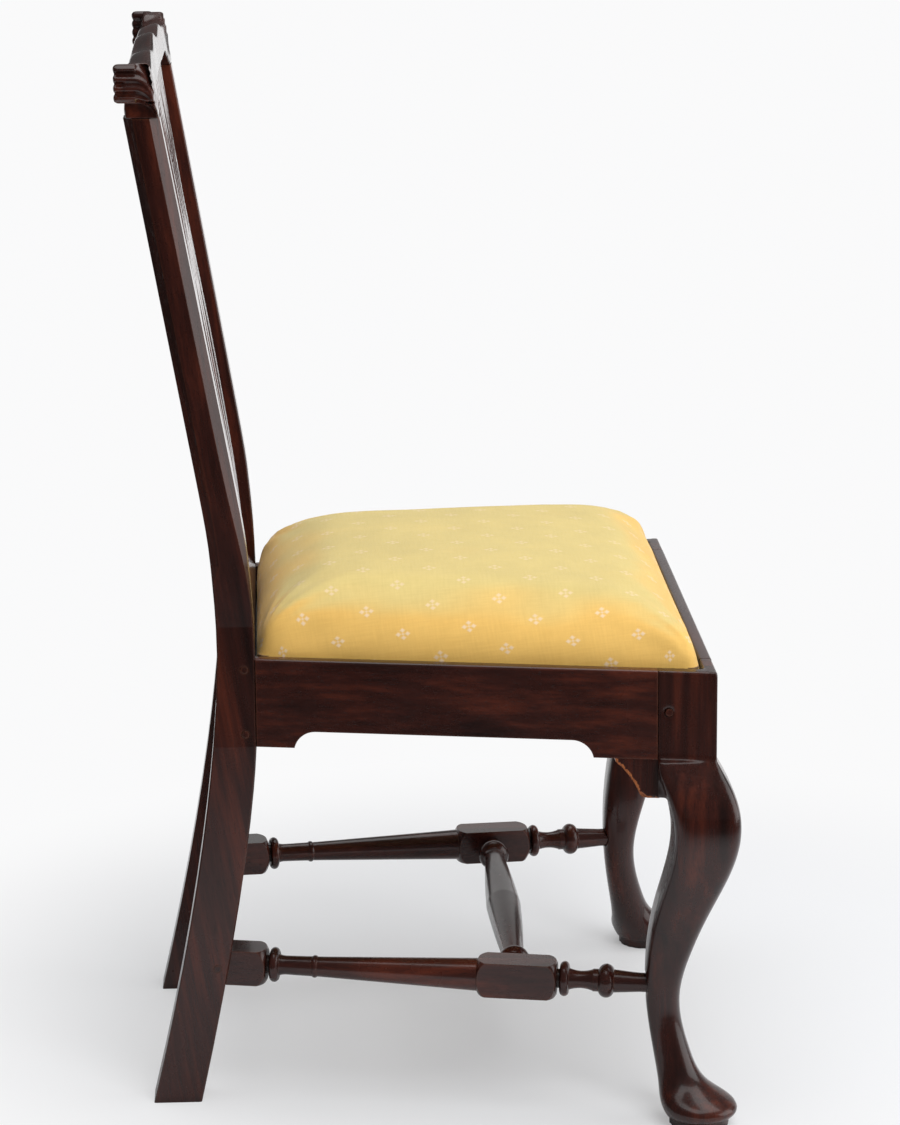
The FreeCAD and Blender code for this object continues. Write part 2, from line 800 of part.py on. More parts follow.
def leaf_opening(middle, half, low, high):
    # a pointed opening between two shares of the height, centred on a share of the half width
    steps = 6
    sides_of_leaf = []
    for sign in (-1, 1):
        points = []
        for step in range(steps + 1):
            along = step / steps
            share = low + (high - low) * along
            place = middle + sign * half * math.sin(math.pi * along)
            points.append(Vector(place * splat_half_width(share), 0, splat_height(share)))
        sides_of_leaf.append(spline(points))
    return Part.Face(Part.Wire(Part.__sortEdges__(sides_of_leaf)))


def splat_tenon(gap):
    half = dim.splat_waist_half_width + gap
    tenon = block((-half, half), (0, 3 * dim.stile_front),
                  (splat_height(1) - dim.splat_tenon_depth, splat_height(1) + dim.splat_tenon_depth + gap))
    return splat_slab(gap).common(tenon)


def splat():
    edge = splat_edge()
    right = edge.toShape()
    left = right.mirror(Vector(0, 0, 0), Vector(1, 0, 0))
    ends = [edge.StartPoint, edge.EndPoint]
    closing = [Part.LineSegment(point, Vector(-point.x, 0, point.z)).toShape() for point in ends]
    face = Part.Face(Part.Wire(Part.__sortEdges__([right, left] + closing)))
    openings = [leaf_opening(0, 0.16, 0.16, 0.58), leaf_opening(0, 0.2, 0.7, 0.96)]
    for side in (1, -1):
        openings.append(leaf_opening(side * 0.52, 0.2, 0.2, 0.62))
        openings.append(leaf_opening(side * 0.47, 0.17, 0.67, 0.93))
        openings.append(leaf_opening(side * 0.8, 0.07, 0.8, 0.97))
    board = face.cut(openings).extrude(Vector(0, 3 * dim.stile_front, 0)).common(splat_slab(0))
    foot = block((-dim.splat_tenon_half_width, dim.splat_tenon_half_width),
                 (dim.splat_base, dim.splat_base + dim.splat_thickness),
                 (dim.shoe_top - dim.shoe_housing_depth, dim.shoe_top))
    return board.fuse([foot, splat_tenon(0)])


def shoe(label):
    body = new_body(label)
    back = "stile_front + shoe_depth"
    profile = [
        ("stile_front", "rail_top"),
        (back, "rail_top"),
        (back, "shoe_top"),
        ("stile_front + shoe_cove", "shoe_top"),
        ("stile_front", "rail_top + shoe_fillet", "shoe_cove_radius", -1),
    ]
    pad_both_ways(body, outline(body, label + "_profile", "YZ_Plane", None, profile), "2 * stile_inner")
    half = "splat_tenon_half_width + joint_clearance"
    front = "splat_base - joint_clearance"
    rear = "splat_base + splat_thickness + joint_clearance"
    housing = [("-(%s)" % half, front), (half, front), (half, rear), ("-(%s)" % half, rear)]
    pocket(body, outline(body, label + "_housing", "XY_Plane", "shoe_top", housing), "shoe_housing_depth")
    return body


# Front legs: square post, cabriole knee, round ankle, disc foot on a turned pad


def leg_section(side, z, reach, width, roundness):
    outer = dim.front_half_width + reach
    front = -dim.front_face - reach
    corners = [(outer - width, front), (outer, front), (outer, front + width), (outer - width, front + width)]
    return rounded([Vector(side * x, y, z) for x, y in corners], roundness * width / 2)


def leg_centre(reach, width):
    return Vector(dim.front_half_width + reach - width / 2, -dim.front_face - reach + width / 2, 0)


def front_leg(side, stretcher_cut):
    stations = (
        (dim.rail_bottom, 0, dim.post_width, 0.1),
        (dim.rail_bottom - dim.brow_drop, dim.brow_reach, dim.brow_width, 0.3),
        (dim.rail_bottom - dim.knee_drop, dim.knee_reach, dim.knee_width, 0.4),
        (dim.rail_bottom - dim.calf_drop, dim.calf_reach, dim.calf_width, 0.45),
        (dim.shin_height, dim.shin_reach, dim.shin_width, 0.6),
        (dim.ankle_height, dim.ankle_reach, dim.ankle_width, 0.9),
        (dim.instep_height, dim.instep_reach, dim.instep_width, 0.96),
        (dim.toe_height, dim.toe_reach, dim.toe_width, 0.97),
        (dim.disc_height, dim.disc_reach, dim.disc_width, 0.97),
        (dim.sole_height, dim.sole_reach, dim.sole_width, 0.97),
    )
    shaped = Part.makeLoft([leg_section(side, *station) for station in stations], True, False)
    corner = dim.front_half_width
    front = -dim.front_face
    bracket_heights = (dim.bracket_bottom, dim.rail_bottom)
    shaped = shaped.cut([
        block((0, side * dim.post_inner), (2 * front, 0), bracket_heights),
        block((0, side * 2 * corner), (dim.seam, 0), bracket_heights),
    ])
    edge = dim.stile_edge
    post = prism([(side * x, y) for x, y in (
        (corner - edge, front), (corner, front + edge), (outer_at(dim.seam), dim.seam),
        (dim.post_inner, dim.seam), (dim.post_inner, front))],
        dim.bracket_bottom, dim.rail_top - dim.bracket_bottom)
    foot = leg_centre(dim.disc_reach, dim.disc_width)
    pad_disc = Part.makeCylinder(dim.pad_diameter / 2, dim.sole_height, Vector(side * foot.x, foot.y, 0))
    leg = shaped.fuse([post, pad_disc])

    gap = dim.joint_clearance
    lip = dim.lip_side * dim.slant
    ledge = dim.lip_front - dim.front_face
    beyond = dim.seam + dim.lip_front
    rabbet = prism([(side * x, y) for x, y in (
        (outer_at(ledge) - lip, ledge), (outer_at(beyond) - lip, beyond), (0, beyond), (0, ledge))],
        dim.shelf_level, dim.rabbet_depth)
    half = dim.tenon_thickness / 2 + gap
    heights = (dim.tenon_bottom - gap, dim.tenon_bottom + dim.tenon_height + gap)
    side_mortise = block((side * (dim.seam_middle - half), side * (dim.seam_middle + half)),
                         (dim.seam - dim.side_tenon_length - gap, dim.seam), heights)
    middle = dim.rail_thickness / 2 - dim.front_face
    front_mortise = block((side * dim.post_inner, side * (dim.post_inner + dim.front_tenon_length + gap)),
                          (middle - half, middle + half), heights)
    peg_y = dim.seam - dim.peg_inset
    bore = peg_bore(side, peg_y, dim.peg_z, outer_at(peg_y))
    return leg.cut([rabbet, side_mortise, front_mortise, bore, stretcher_cut])


def side_bracket(label, side):
    body = new_body(label)
    end = "seam + bracket_length"
    corners = []
    for y_text, inward in (("seam", "0"), (end, "0"), (end, "bracket_thickness * slant"),
                           ("seam", "bracket_thickness * slant")):
        corners.append((side_text(side, outer_x(y_text) + " - " + inward), y_text))
    pad(body, outline(body, label + "_plan", "XY_Plane", "bracket_bottom", corners), "knee_block_drop")
    hollow = [
        ("seam + bracket_land", "bracket_bottom", "bracket_radius", 1),
        (end, "bracket_bottom"),
        (end, "rail_bottom"),
    ]
    pocket_through(body, outline(body, label + "_hollow", "YZ_Plane", None, hollow))
    return body


def front_bracket(label, side):
    body = new_body(label)
    end = "post_inner - bracket_length"
    rear = "bracket_thickness - front_face"
    corners = [
        (side_text(side, "post_inner"), "-(front_face)"),
        (side_text(side, end), "-(front_face)"),
        (side_text(side, end), rear),
        (side_text(side, "post_inner"), rear),
    ]
    pad(body, outline(body, label + "_plan", "XY_Plane", "bracket_bottom", corners), "knee_block_drop")
    hollow = [
        (side_text(side, "post_inner - bracket_land"), "bracket_bottom", "bracket_radius", -side),
        (side_text(side, end), "bracket_bottom"),
        (side_text(side, end), "rail_bottom"),
    ]
    pocket_through(body, outline(body, label + "_hollow", "XZ_Plane", None, hollow))
    return body


# Stretchers: turned between square blocks, in a local frame whose X runs along the axis


def turning(profile):
    # each station is (place, radius), or (place, radius, middle radius) where an arc arrives at it
    points = [Vector(station[0], 0, station[1]) for station in profile]
    edges = [Part.LineSegment(Vector(points[0].x, 0, 0), points[0]).toShape()]
    for start, end, station in zip(points, points[1:], profile[1:]):
        if len(station) == 2:
            edges.append(Part.LineSegment(start, end).toShape())
            continue
        middle = Vector((start.x + end.x) / 2, 0, station[2])
        edges.append(Part.Arc(start, middle, end).toShape())
    edges.append(Part.LineSegment(points[-1], Vector(points[-1].x, 0, 0)).toShape())
    edges.append(Part.LineSegment(Vector(points[-1].x, 0, 0), Vector(points[0].x, 0, 0)).toShape())
    return Part.Face(Part.Wire(edges)).revolve(Vector(0, 0, 0), Vector(1, 0, 0), 360)


def turned_block(start, length, round_start):
    # a square block whose ends were rounded on the lathe
    half = dim.block_size / 2
    corner = half * math.sqrt(2)
    square = block((start, start + length), (-half, half), (-half, half))
    ease = half / 2
    profile = [(start, half * 0.9 if round_start else corner)]
    if round_start:
        profile.append((start + ease, corner, half * 1.25))
    profile.append((start + length - ease, corner))
    profile.append((start + length, half * 0.9, half * 1.25))
    return square.common(turning(profile))


def axis_placement(start, end):
    along = (end - start).normalize()
    across = Vector(-along.y, along.x, 0).normalize()
    return Placement(start, Rotation(along, across, along.cross(across), "XYZ"))


def side_stretcher_ends(side):
    level = dim.stretcher_rear_height
    rear_x = (stile_inner_at(level) + stile_outer_at(level)) / 2
    ankle = leg_centre(dim.ankle_reach, dim.ankle_width)
    rear = Vector(side * rear_x, dim.stretcher_seat, level)
    return rear, Vector(side * ankle.x, ankle.y, dim.stretcher_front_height)


def side_stretcher_length():
    rear, front = side_stretcher_ends(1)
    return (front - rear).Length


def middle_block_start():
    leg_face = side_stretcher_length() - dim.ankle_width / 2
    return leg_face - dim.middle_block_gap - dim.middle_block_length


def side_stretcher_tenon(gap):
    half_y = dim.tenon_thickness / 2 + gap
    half_z = dim.side_stretcher_tenon_height / 2 + gap
    return block((-dim.side_stretcher_tenon - gap, dim.rear_block_length / 2), (-half_y, half_y),
                 (-half_z, half_z))


def side_stretcher_bore(gap):
    leg_face = side_stretcher_length() - dim.ankle_width / 2
    start = Vector(leg_face - dim.ankle_width / 2, 0, 0)
    length = dim.ankle_width / 2 + dim.front_stretcher_tenon + gap
    return Part.makeCylinder(dim.neck_diameter / 2 + gap, length, start, Vector(1, 0, 0))


def medial_bore(gap):
    # from the inner face of the middle block towards its centre
    middle = middle_block_start() + dim.middle_block_length / 2
    depth = dim.medial_tenon_length + gap
    return middle, dim.block_size / 2, depth, dim.medial_tenon_diameter / 2 + gap


def behind_leg_face():
    # all that lies behind the front face of the rear legs, around the stretcher
    reach = dim.block_size
    steps = 4
    front = []
    for step in range(-steps, steps + 1):
        z = dim.stretcher_rear_height + reach * step / steps
        front.append(Vector(-dim.front_half_width, stile_front_at(z) - dim.joint_clearance, z))
    back = [front[index] + Vector(0, 2 * dim.stile_depth, 0) for index in (-1, 0)]
    edges = [
        spline(front),
        Part.LineSegment(front[-1], back[0]).toShape(),
        Part.LineSegment(back[0], back[1]).toShape(),
        Part.LineSegment(back[1], front[0]).toShape(),
    ]
    return Part.Face(Part.Wire(edges)).extrude(Vector(2 * dim.front_half_width, 0, 0))


def side_stretcher(side, placement):
    neck = dim.neck_diameter / 2
    ring = dim.ring_diameter / 2
    small = dim.small_ring_diameter / 2
    taper = dim.taper_diameter / 2
    bulb = dim.front_bulb_diameter / 2
    ring_start = dim.rear_block_length + neck / 3
    small_start = dim.small_ring_place - dim.small_ring_width / 2
    start = middle_block_start()
    end = start + dim.middle_block_length
    leg_face = side_stretcher_length() - dim.ankle_width / 2
    bulb_start = leg_face - dim.front_bulb_gap - dim.front_bulb_width / 2
    bulb_end = bulb_start + dim.front_bulb_width
    front_ring = end + neck / 3
    collar = neck * 1.2
    profile = [
        (dim.rear_block_length - neck, neck),
        (ring_start, neck),
        (ring_start, collar),
        (ring_start + dim.ring_width, collar, ring),
        (ring_start + dim.ring_width, collar * 0.95),
        (ring_start + 2 * dim.ring_width, neck, neck * 1.02),
        (small_start, neck * 1.05),
        (small_start + dim.small_ring_width, neck * 1.05, small),
        (start, taper),
        (end, taper),
        (end, neck),
        (front_ring, neck),
        (front_ring, collar),
        (front_ring + dim.ring_width, collar, ring),
        (front_ring + dim.ring_width, collar * 0.95),
        (bulb_start - dim.small_ring_width, collar * 0.95, neck * 0.9),
        (bulb_start - dim.small_ring_width, small),
        (bulb_start, small),
        (bulb_start, collar),
        (bulb_end, collar, bulb),
        (leg_face - dim.small_ring_width, neck),
        (leg_face + dim.front_stretcher_tenon, neck),
    ]
    into_leg = dim.side_stretcher_tenon
    rear_block = turned_block(-into_leg, dim.rear_block_length + into_leg, False)
    middle = turned_block(start, dim.middle_block_length, True)
    place, face, depth, radius = medial_bore(dim.joint_clearance)
    inward = Vector(-side, 0, 0)
    start_point = placement.multVec(Vector(place, 0, 0)) + inward * (face - depth)
    bore = Part.makeCylinder(radius, dim.block_size, start_point, inward)
    peg_y = dim.stretcher_seat + dim.peg_inset
    peg = peg_bore(side, peg_y, dim.stretcher_rear_height, dim.stretcher_outer)
    leg = behind_leg_face()
    for tool in (bore, peg, leg):
        tool.Placement = placement.inverse()
    turned = turning(profile).fuse([rear_block, middle]).cut(leg)
    return turned.fuse(side_stretcher_tenon(0)).cut([bore, peg])


def medial_stretcher():
    placement = stretcher_places["left"]
    place, face, depth, radius = medial_bore(0)
    centre = placement.multVec(Vector(place, 0, 0))
    neck = dim.medial_neck_diameter / 2
    along = placement.Rotation.multVec(Vector(1, 0, 0))
    half = centre.x - (face + neck * abs(along.x)) / abs(along.y)
    ball = dim.medial_ball_diameter / 2
    swell = dim.medial_diameter / 2
    tenon = dim.medial_tenon_diameter / 2
    near = dim.medial_ball_place
    profile_half = [
        (face - depth - centre.x, tenon),
        (-half, tenon),
        (-half, neck),
        (-half + near - dim.ring_width, neck * 0.95),
        (-half + near - dim.ring_width, neck * 1.15),
        (-half + near + dim.ring_width, neck * 1.1, ball),
        (-half + near + 2 * dim.ring_width, neck, neck),
        (0, swell, neck * 0.4 + swell * 0.6),
    ]
    mirrored = []
    for index in range(len(profile_half) - 1, 0, -1):
        place_x, station_radius = profile_half[index - 1][:2]
        middle = profile_half[index][2:]
        mirrored.append((-place_x, station_radius) + middle)
    return turning(profile_half + mirrored), Placement(Vector(0, centre.y, centre.z), Rotation())


def rear_stretcher_place():
    level = dim.rear_stretcher_height
    return Vector(0, (stile_front_at(level) + stile_back_at(level)) / 2, level)


def rear_stretcher():
    half = stile_inner_at(dim.rear_stretcher_height)
    tenon = dim.rear_stretcher_tenon_diameter / 2
    swell = dim.rear_stretcher_diameter / 2
    neck = dim.neck_diameter / 2
    reach = half + dim.rear_stretcher_tenon_length
    ring = dim.ring_width
    bead = dim.rear_stretcher_bead
    profile = [
        (-reach, tenon),
        (-half + ring, tenon),
        (-half + ring, neck),
        (-ring, swell - 2 * bead, (neck + swell) / 2 + bead),
        (-ring, swell - bead),
        (ring, swell - bead, swell + bead),
        (ring, swell - 2 * bead),
        (half - ring, neck, (neck + swell) / 2 + bead),
        (half - ring, tenon),
        (reach, tenon),
    ]
    return turning(profile), Placement(rear_stretcher_place(), Rotation())


def rear_stretcher_bore(side):
    gap = dim.joint_clearance
    half = stile_inner_at(dim.rear_stretcher_height)
    start = rear_stretcher_place() + Vector(side * (half - dim.ring_width), 0, 0)
    length = dim.ring_width + dim.rear_stretcher_tenon_length + gap
    radius = dim.rear_stretcher_tenon_diameter / 2 + gap
    return Part.makeCylinder(radius, length, start, Vector(side, 0, 0))


# Corner blocks glued inside the rails


def front_corner_block(label, side):
    body = new_body(label)
    rail_face = "rail_thickness - front_face"
    end = "seam + front_block_reach"
    corners = [
        (side_text(side, "post_inner"), rail_face),
        (side_text(side, "post_inner"), "seam"),
        (side_text(side, outer_x("seam") + " - rail_span"), "seam"),
        (side_text(side, outer_x(end) + " - rail_span"), end),
        (side_text(side, "post_inner - front_block_reach"), rail_face),
    ]
    level = "block_top - corner_block_height"
    pad(body, outline(body, label + "_plan", "XY_Plane", level, corners), "corner_block_height")
    return body


def rear_corner_block(label, side):
    body = new_body(label)
    rail_face = "stile_front - rear_shelf"
    end = rail_face + " - rear_block_reach"
    corners = [
        (side_text(side, outer_x(end) + " - rail_span"), end),
        (side_text(side, outer_x(rail_face) + " - rail_span"), rail_face),
        (side_text(side, "stile_inner - rear_block_reach"), rail_face),
    ]
    level = "block_top - corner_block_height"
    pad(body, outline(body, label + "_plan", "XY_Plane", level, corners), "corner_block_height")
    return body


# Slip seat: half-lapped frame, webbing, sackcloth, stuffing and cover


def trapezoid(front, rear, inset):
    return [
        ("-(%s - (%s))" % (outer_x(front), inset), front),
        ("%s - (%s)" % (outer_x(front), inset), front),
        ("%s - (%s)" % (outer_x(rear), inset), rear),
        ("-(%s - (%s))" % (outer_x(rear), inset), rear),
    ]


def round_seat_corners(body):
    doc.recompute()
    last = body.Tip
    corners = []
    for y_text in ("frame_front", "frame_rear"):
        corners.append((value(outer_x(y_text) + " - frame_inset"), value(y_text)))
    picked = []
    for number, edge in enumerate(last.Shape.Edges, 1):
        low, high = [vertex.Point for vertex in edge.Vertexes]
        upright = math.hypot(low.x - high.x, low.y - high.y) < dim.joint_clearance
        offsets = [math.hypot(abs(low.x) - x, low.y - y) for x, y in corners]
        if upright and min(offsets) < dim.joint_clearance:
            picked.append("Edge%d" % number)
    fillet = body.newObject("PartDesign::Fillet", body.Label + "_corners")
    fillet.Base = (last, picked)
    fillet.setExpression("Radius", bind("cushion_corner"))


def cross_member(label, front, rear):
    body = new_body(label)
    lower = trapezoid(front, rear, "frame_inset")
    upper = trapezoid(front, rear, "frame_inset + frame_span")
    half = "seat_frame_thickness / 2"
    pad(body, outline(body, label + "_lap", "XY_Plane", "frame_bottom", lower), half)
    middle = "frame_bottom + seat_frame_thickness / 2"
    pad(body, outline(body, label + "_top", "XY_Plane", middle, upper), half)
    round_seat_corners(body)
    return body


def side_member(label, side):
    body = new_body(label)
    half = "seat_frame_thickness / 2"
    middle = "frame_bottom + seat_frame_thickness / 2"
    for name, level, front, rear in (
        ("_top", middle, "frame_front", "frame_rear"),
        ("_lap", "frame_bottom", "frame_front + seat_frame_width", "frame_rear - seat_frame_width"),
    ):
        corners = []
        for y_text, inward in ((front, "0"), (rear, "0"), (rear, "frame_span"), (front, "frame_span")):
            text = outer_x(y_text) + " - frame_inset - " + inward
            corners.append((side_text(side, text), y_text))
        pad(body, outline(body, label + name, "XY_Plane", level, corners), half)
    round_seat_corners(body)
    return body


def webbing(along):
    strips = []
    strip_count = 3
    front = dim.frame_front + dim.webbing_edge
    rear = dim.frame_rear - dim.webbing_edge
    for index in range(strip_count):
        offset = (index - (strip_count - 1) / 2) * dim.webbing_pitch
        if along:
            x_range = (offset - dim.webbing_width / 2, offset + dim.webbing_width / 2)
            y_range = (front, rear)
            bottom = dim.frame_top
        else:
            middle = (front + rear) / 2 + offset
            y_range = (middle - dim.webbing_width / 2, middle + dim.webbing_width / 2)
            reach = outer_at(max(y_range)) - dim.frame_inset - dim.webbing_edge
            x_range = (-reach, reach)
            bottom = dim.frame_top + dim.webbing_thickness
        strips.append(block(x_range, y_range, (bottom, bottom + dim.webbing_thickness)))
    return Part.makeCompound(strips)


def sackcloth(label):
    body = new_body(label)
    corners = trapezoid("frame_front + webbing_edge", "frame_rear - webbing_edge",
                        "frame_inset + webbing_edge")
    level = "frame_top + 2 * webbing_thickness"
    pad(body, outline(body, label + "_plan", "XY_Plane", level, corners), "sackcloth_thickness")
    return body


def seat_section(z, inset, radius, drop=0):
    # drop is how far the section falls from the rear to the front of the seat
    front = dim.seat_front + inset
    rear = dim.seat_rear - inset
    aside = dim.seat_inset + inset * dim.slant
    fall = drop / (dim.seat_rear - dim.seat_front)
    points = []
    for y in (front, rear):
        points.append(Vector(outer_at(y) - aside, y, z - fall * (dim.seat_rear - y)))
    mirrored = [Vector(-point.x, point.y, point.z) for point in reversed(points)]
    return rounded(points + mirrored, radius)


def cushion(inset, bottom):
    wall_top = dim.rail_top + dim.cushion_wall
    rise = dim.cushion_height - dim.cushion_wall - inset
    sections = [seat_section(bottom, inset, dim.cushion_corner)]
    for share in (0, 0.35, 0.65, 0.88, 1):
        curve = dim.cushion_round * (1 - math.sqrt(1 - share * share))
        radius = dim.cushion_corner + curve * dim.cushion_corner_ratio
        drop = share * dim.cushion_front_drop
        sections.append(seat_section(wall_top + share * rise, inset + curve, radius, drop))
    top = wall_top + rise + dim.cushion_crown
    crown_radius = dim.cushion_corner + dim.cushion_round
    sections.append(seat_section(top, inset + dim.cushion_crown_inset, crown_radius, dim.cushion_front_drop))
    return Part.makeLoft(sections, True, True)


def seat_stuffing():
    bottom = dim.frame_top + 2 * dim.webbing_thickness + dim.sackcloth_thickness
    return cushion(dim.cover_thickness + dim.layer_clearance, bottom)


def seat_cover():
    hollow = cushion(dim.cover_thickness, dim.frame_bottom)
    opening = Part.Face(seat_section(dim.shelf_level, dim.cover_flap, dim.cushion_corner))
    return cushion(0, dim.shelf_level).cut([hollow, opening.extrude(Vector(0, 0, dim.rabbet_depth))])


def spread(start, end, pitch):
    count = max(2, int((end - start) // pitch) + 1)
    return [start + (end - start) * index / (count - 1) for index in range(count)]


def cover_tacks():
    margin = dim.tack_head_diameter
    front = dim.seat_front + dim.tack_inset
    rear = dim.seat_rear - dim.tack_inset
    aside = dim.seat_inset + dim.tack_inset * dim.slant
    points = [(x, front) for x in spread(margin - dim.post_inner, dim.post_inner - margin, dim.tack_pitch)]
    points += [(x, rear) for x in spread(2 * margin - dim.stile_inner, dim.stile_inner - 2 * margin,
                                         dim.tack_pitch)]
    for y in spread(dim.seam + margin, rear - dim.tack_pitch, dim.tack_pitch):
        points += [(side * (outer_at(y) - aside), y) for name, side in sides]
    tacks = []
    for x, y in points:
        head = Part.makeCylinder(dim.tack_head_diameter / 2, dim.tack_head_thickness,
                                 Vector(x, y, dim.shelf_level - dim.tack_head_thickness))
        shank = Part.makeCylinder(dim.tack_shank_diameter / 2, dim.tack_shank_length,
                                  Vector(x, y, dim.shelf_level))
        tacks.append(head.fuse(shank))
    return Part.makeCompound(tacks)


# Pegs that pin the tenons


def peg_group(label, pegs):
    group = doc.addObject("Part::Compound", label)
    group.Label = label
    links = []
    for side, x_text, y_text, z_text in pegs:
        peg = doc.addObject("Part::Cylinder", label + "_peg")
        peg.setExpression("Radius", bind("peg_diameter / 2"))
        peg.setExpression("Height", bind("peg_length"))
        start = x_text + " + peg_proud - peg_length" if side > 0 else "-(%s + peg_proud)" % x_text
        peg.Placement = Placement(Vector(), Rotation(Vector(0, 1, 0), 90))
        for axis, text in (("x", start), ("y", y_text), ("z", z_text)):
            peg.setExpression("Placement.Base." + axis, bind(text))
        links.append(peg)
    group.Links = links
    return group


# The chair put together

stretcher_places = {}
for name, side in sides:
    rear, front = side_stretcher_ends(side)
    stretcher_places[name] = axis_placement(rear, front)

for name, side in sides:
    mortise = side_stretcher_tenon(dim.joint_clearance)
    mortise.Placement = stretcher_places[name]
    ankle_bore = side_stretcher_bore(dim.joint_clearance)
    ankle_bore.Placement = stretcher_places[name]
    cuts = [mortise, rear_stretcher_bore(side)]
    nodes.append(add_feature("rear_stile_" + name, stile(side, cuts)))
    nodes.append(add_feature("front_leg_" + name, front_leg(side, ankle_bore)))
    turned = side_stretcher(side, stretcher_places[name])
    nodes.append(add_feature("side_stretcher_" + name, turned, stretcher_places[name]))
    nodes.append(side_rail("side_seat_rail_" + name, side))
    nodes.append(side_bracket("knee_bracket_side_" + name, side))
    nodes.append(front_bracket("knee_bracket_front_" + name, side))
    nodes.append(front_corner_block("corner_block_front_" + name, side))
    nodes.append(rear_corner_block("corner_block_rear_" + name, side))
    nodes.append(side_member("seat_frame_" + name, side))

nodes.append(front_rail("front_seat_rail"))
nodes.append(rear_rail("rear_seat_rail"))
nodes.append(add_feature("crest_rail", crest()))
nodes.append(add_feature("splat", splat()))
nodes.append(shoe("splat_shoe"))
nodes.append(add_feature("medial_stretcher", *medial_stretcher()))
nodes.append(add_feature("rear_stretcher", *rear_stretcher()))
nodes.append(cross_member("seat_frame_front", "frame_front", "frame_front + seat_frame_width"))
nodes.append(cross_member("seat_frame_rear", "frame_rear - seat_frame_width", "frame_rear"))
nodes.append(add_feature("seat_webbing_long", webbing(True)))
nodes.append(add_feature("seat_webbing_cross", webbing(False)))
nodes.append(sackcloth("seat_sackcloth"))
nodes.append(add_feature("seat_stuffing", seat_stuffing()))
nodes.append(add_feature("seat_cover", seat_cover()))
nodes.append(add_feature("cover_tacks", cover_tacks()))
stile_pegs = []
post_pegs = []
stretcher_pegs = []
for name, side in sides:
    for level in stile_peg_levels:
        stile_pegs.append((side, "rear_half_width", "stile_front + peg_inset", level))
    post_pegs.append((side, outer_x("seam - peg_inset"), "seam - peg_inset", "peg_z"))
    stretcher_pegs.append((side, "stretcher_outer", "stretcher_seat + peg_inset", "stretcher_rear_height"))
nodes.append(peg_group("stile_joint_pegs", stile_pegs))
nodes.append(peg_group("post_joint_pegs", post_pegs))
nodes.append(peg_group("stretcher_joint_pegs", stretcher_pegs))

doc.recompute()
for item in doc.Objects:
    if "Invalid" in item.State or "Error" in item.State:
        raise RuntimeError("%s did not compute: %s" % (item.Label, item.State))
for node in nodes:
    if node.Shape.isNull() or not node.Shape.isValid() or node.Shape.Volume <= 0:
        raise RuntimeError(node.Label + " has no valid solid")

os.makedirs("parts", exist_ok=True)
for node in nodes:
    node.Shape.exportStep("parts/%s.step" % node.Label)
    box = node.Shape.optimalBoundingBox(True, False)
    print("%-26s %2d solids  x %.1f..%.1f  y %.1f..%.1f  z %.1f..%.1f" % (
        node.Label, len(node.Shape.Solids), box.XMin, box.XMax, box.YMin, box.YMax, box.ZMin, box.ZMax))
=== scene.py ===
import bpy
import bmesh
import math
from mathutils import Matrix, Vector, noise


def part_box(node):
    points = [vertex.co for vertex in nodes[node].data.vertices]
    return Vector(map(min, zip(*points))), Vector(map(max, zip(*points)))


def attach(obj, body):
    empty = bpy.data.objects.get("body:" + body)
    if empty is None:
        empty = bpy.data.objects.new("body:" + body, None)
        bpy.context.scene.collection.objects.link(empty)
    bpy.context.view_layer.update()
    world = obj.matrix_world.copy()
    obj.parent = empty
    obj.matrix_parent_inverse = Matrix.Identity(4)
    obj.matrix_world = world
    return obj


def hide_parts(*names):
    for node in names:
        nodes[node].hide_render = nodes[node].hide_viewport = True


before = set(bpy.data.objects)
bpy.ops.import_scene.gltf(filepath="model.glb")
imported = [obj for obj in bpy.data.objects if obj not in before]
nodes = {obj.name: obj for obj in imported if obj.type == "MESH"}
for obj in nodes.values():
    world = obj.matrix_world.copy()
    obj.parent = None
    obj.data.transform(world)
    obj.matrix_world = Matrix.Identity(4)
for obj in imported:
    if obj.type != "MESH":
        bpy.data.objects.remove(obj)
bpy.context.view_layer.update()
scene = bpy.context.scene
scene.view_settings.view_transform = "Standard"
print("frame loaded:", len(nodes), "nodes")


# camera, from the photo's own perspective

photoCamera = {
    "place": (-3.5382, 0.1371, 1.3050),
    "yaw": -2.618,
    "pitch": 13.326,
    "roll": -0.387,
    "lens": 123.744,
}


def aimCamera(settings):
    yaw, pitch, roll = (math.radians(settings[name]) for name in ("yaw", "pitch", "roll"))
    ahead = Vector((math.cos(yaw) * math.cos(pitch), math.sin(yaw) * math.cos(pitch), -math.sin(pitch)))
    level = ahead.cross(Vector((0, 0, 1))).normalized()
    upright = level.cross(ahead)
    right = level * math.cos(roll) + upright * math.sin(roll)
    up = upright * math.cos(roll) - level * math.sin(roll)
    data = bpy.data.cameras.new("photoCamera")
    data.lens = settings["lens"]
    data.sensor_width = 36
    data.clip_end = 120
    camera = bpy.data.objects.new("photoCamera", data)
    turn = Matrix((right, up, -ahead)).transposed().to_4x4()
    camera.matrix_world = Matrix.Translation(settings["place"]) @ turn
    scene.collection.objects.link(camera)
    scene.camera = camera


aimCamera(photoCamera)


# small helpers for node trees

def place(tree, kind, **settings):
    made = tree.nodes.new(kind)
    for name, setting in settings.items():
        setattr(made, name, setting)
    return made


def feed(tree, source, target):
    tree.links.new(source, target)


def math2(tree, operation, first, second=None, clamp=False):
    made = place(tree, "ShaderNodeMath", operation=operation, use_clamp=clamp)
    for index, given in enumerate((first, second)):
        if given is None:
            continue
        if isinstance(given, (int, float)):
            made.inputs[index].default_value = given
        else:
            feed(tree, given, made.inputs[index])
    return made.outputs[0]


def ramp(tree, source, stops):
    made = place(tree, "ShaderNodeValToRGB")
    elements = made.color_ramp.elements
    while len(elements) < len(stops):
        elements.new(0.5)
    for element, (spot, colour) in zip(elements, stops):
        element.position = spot
        element.color = (*colour, 1)
    feed(tree, source, made.inputs[0])
    return made.outputs[0]


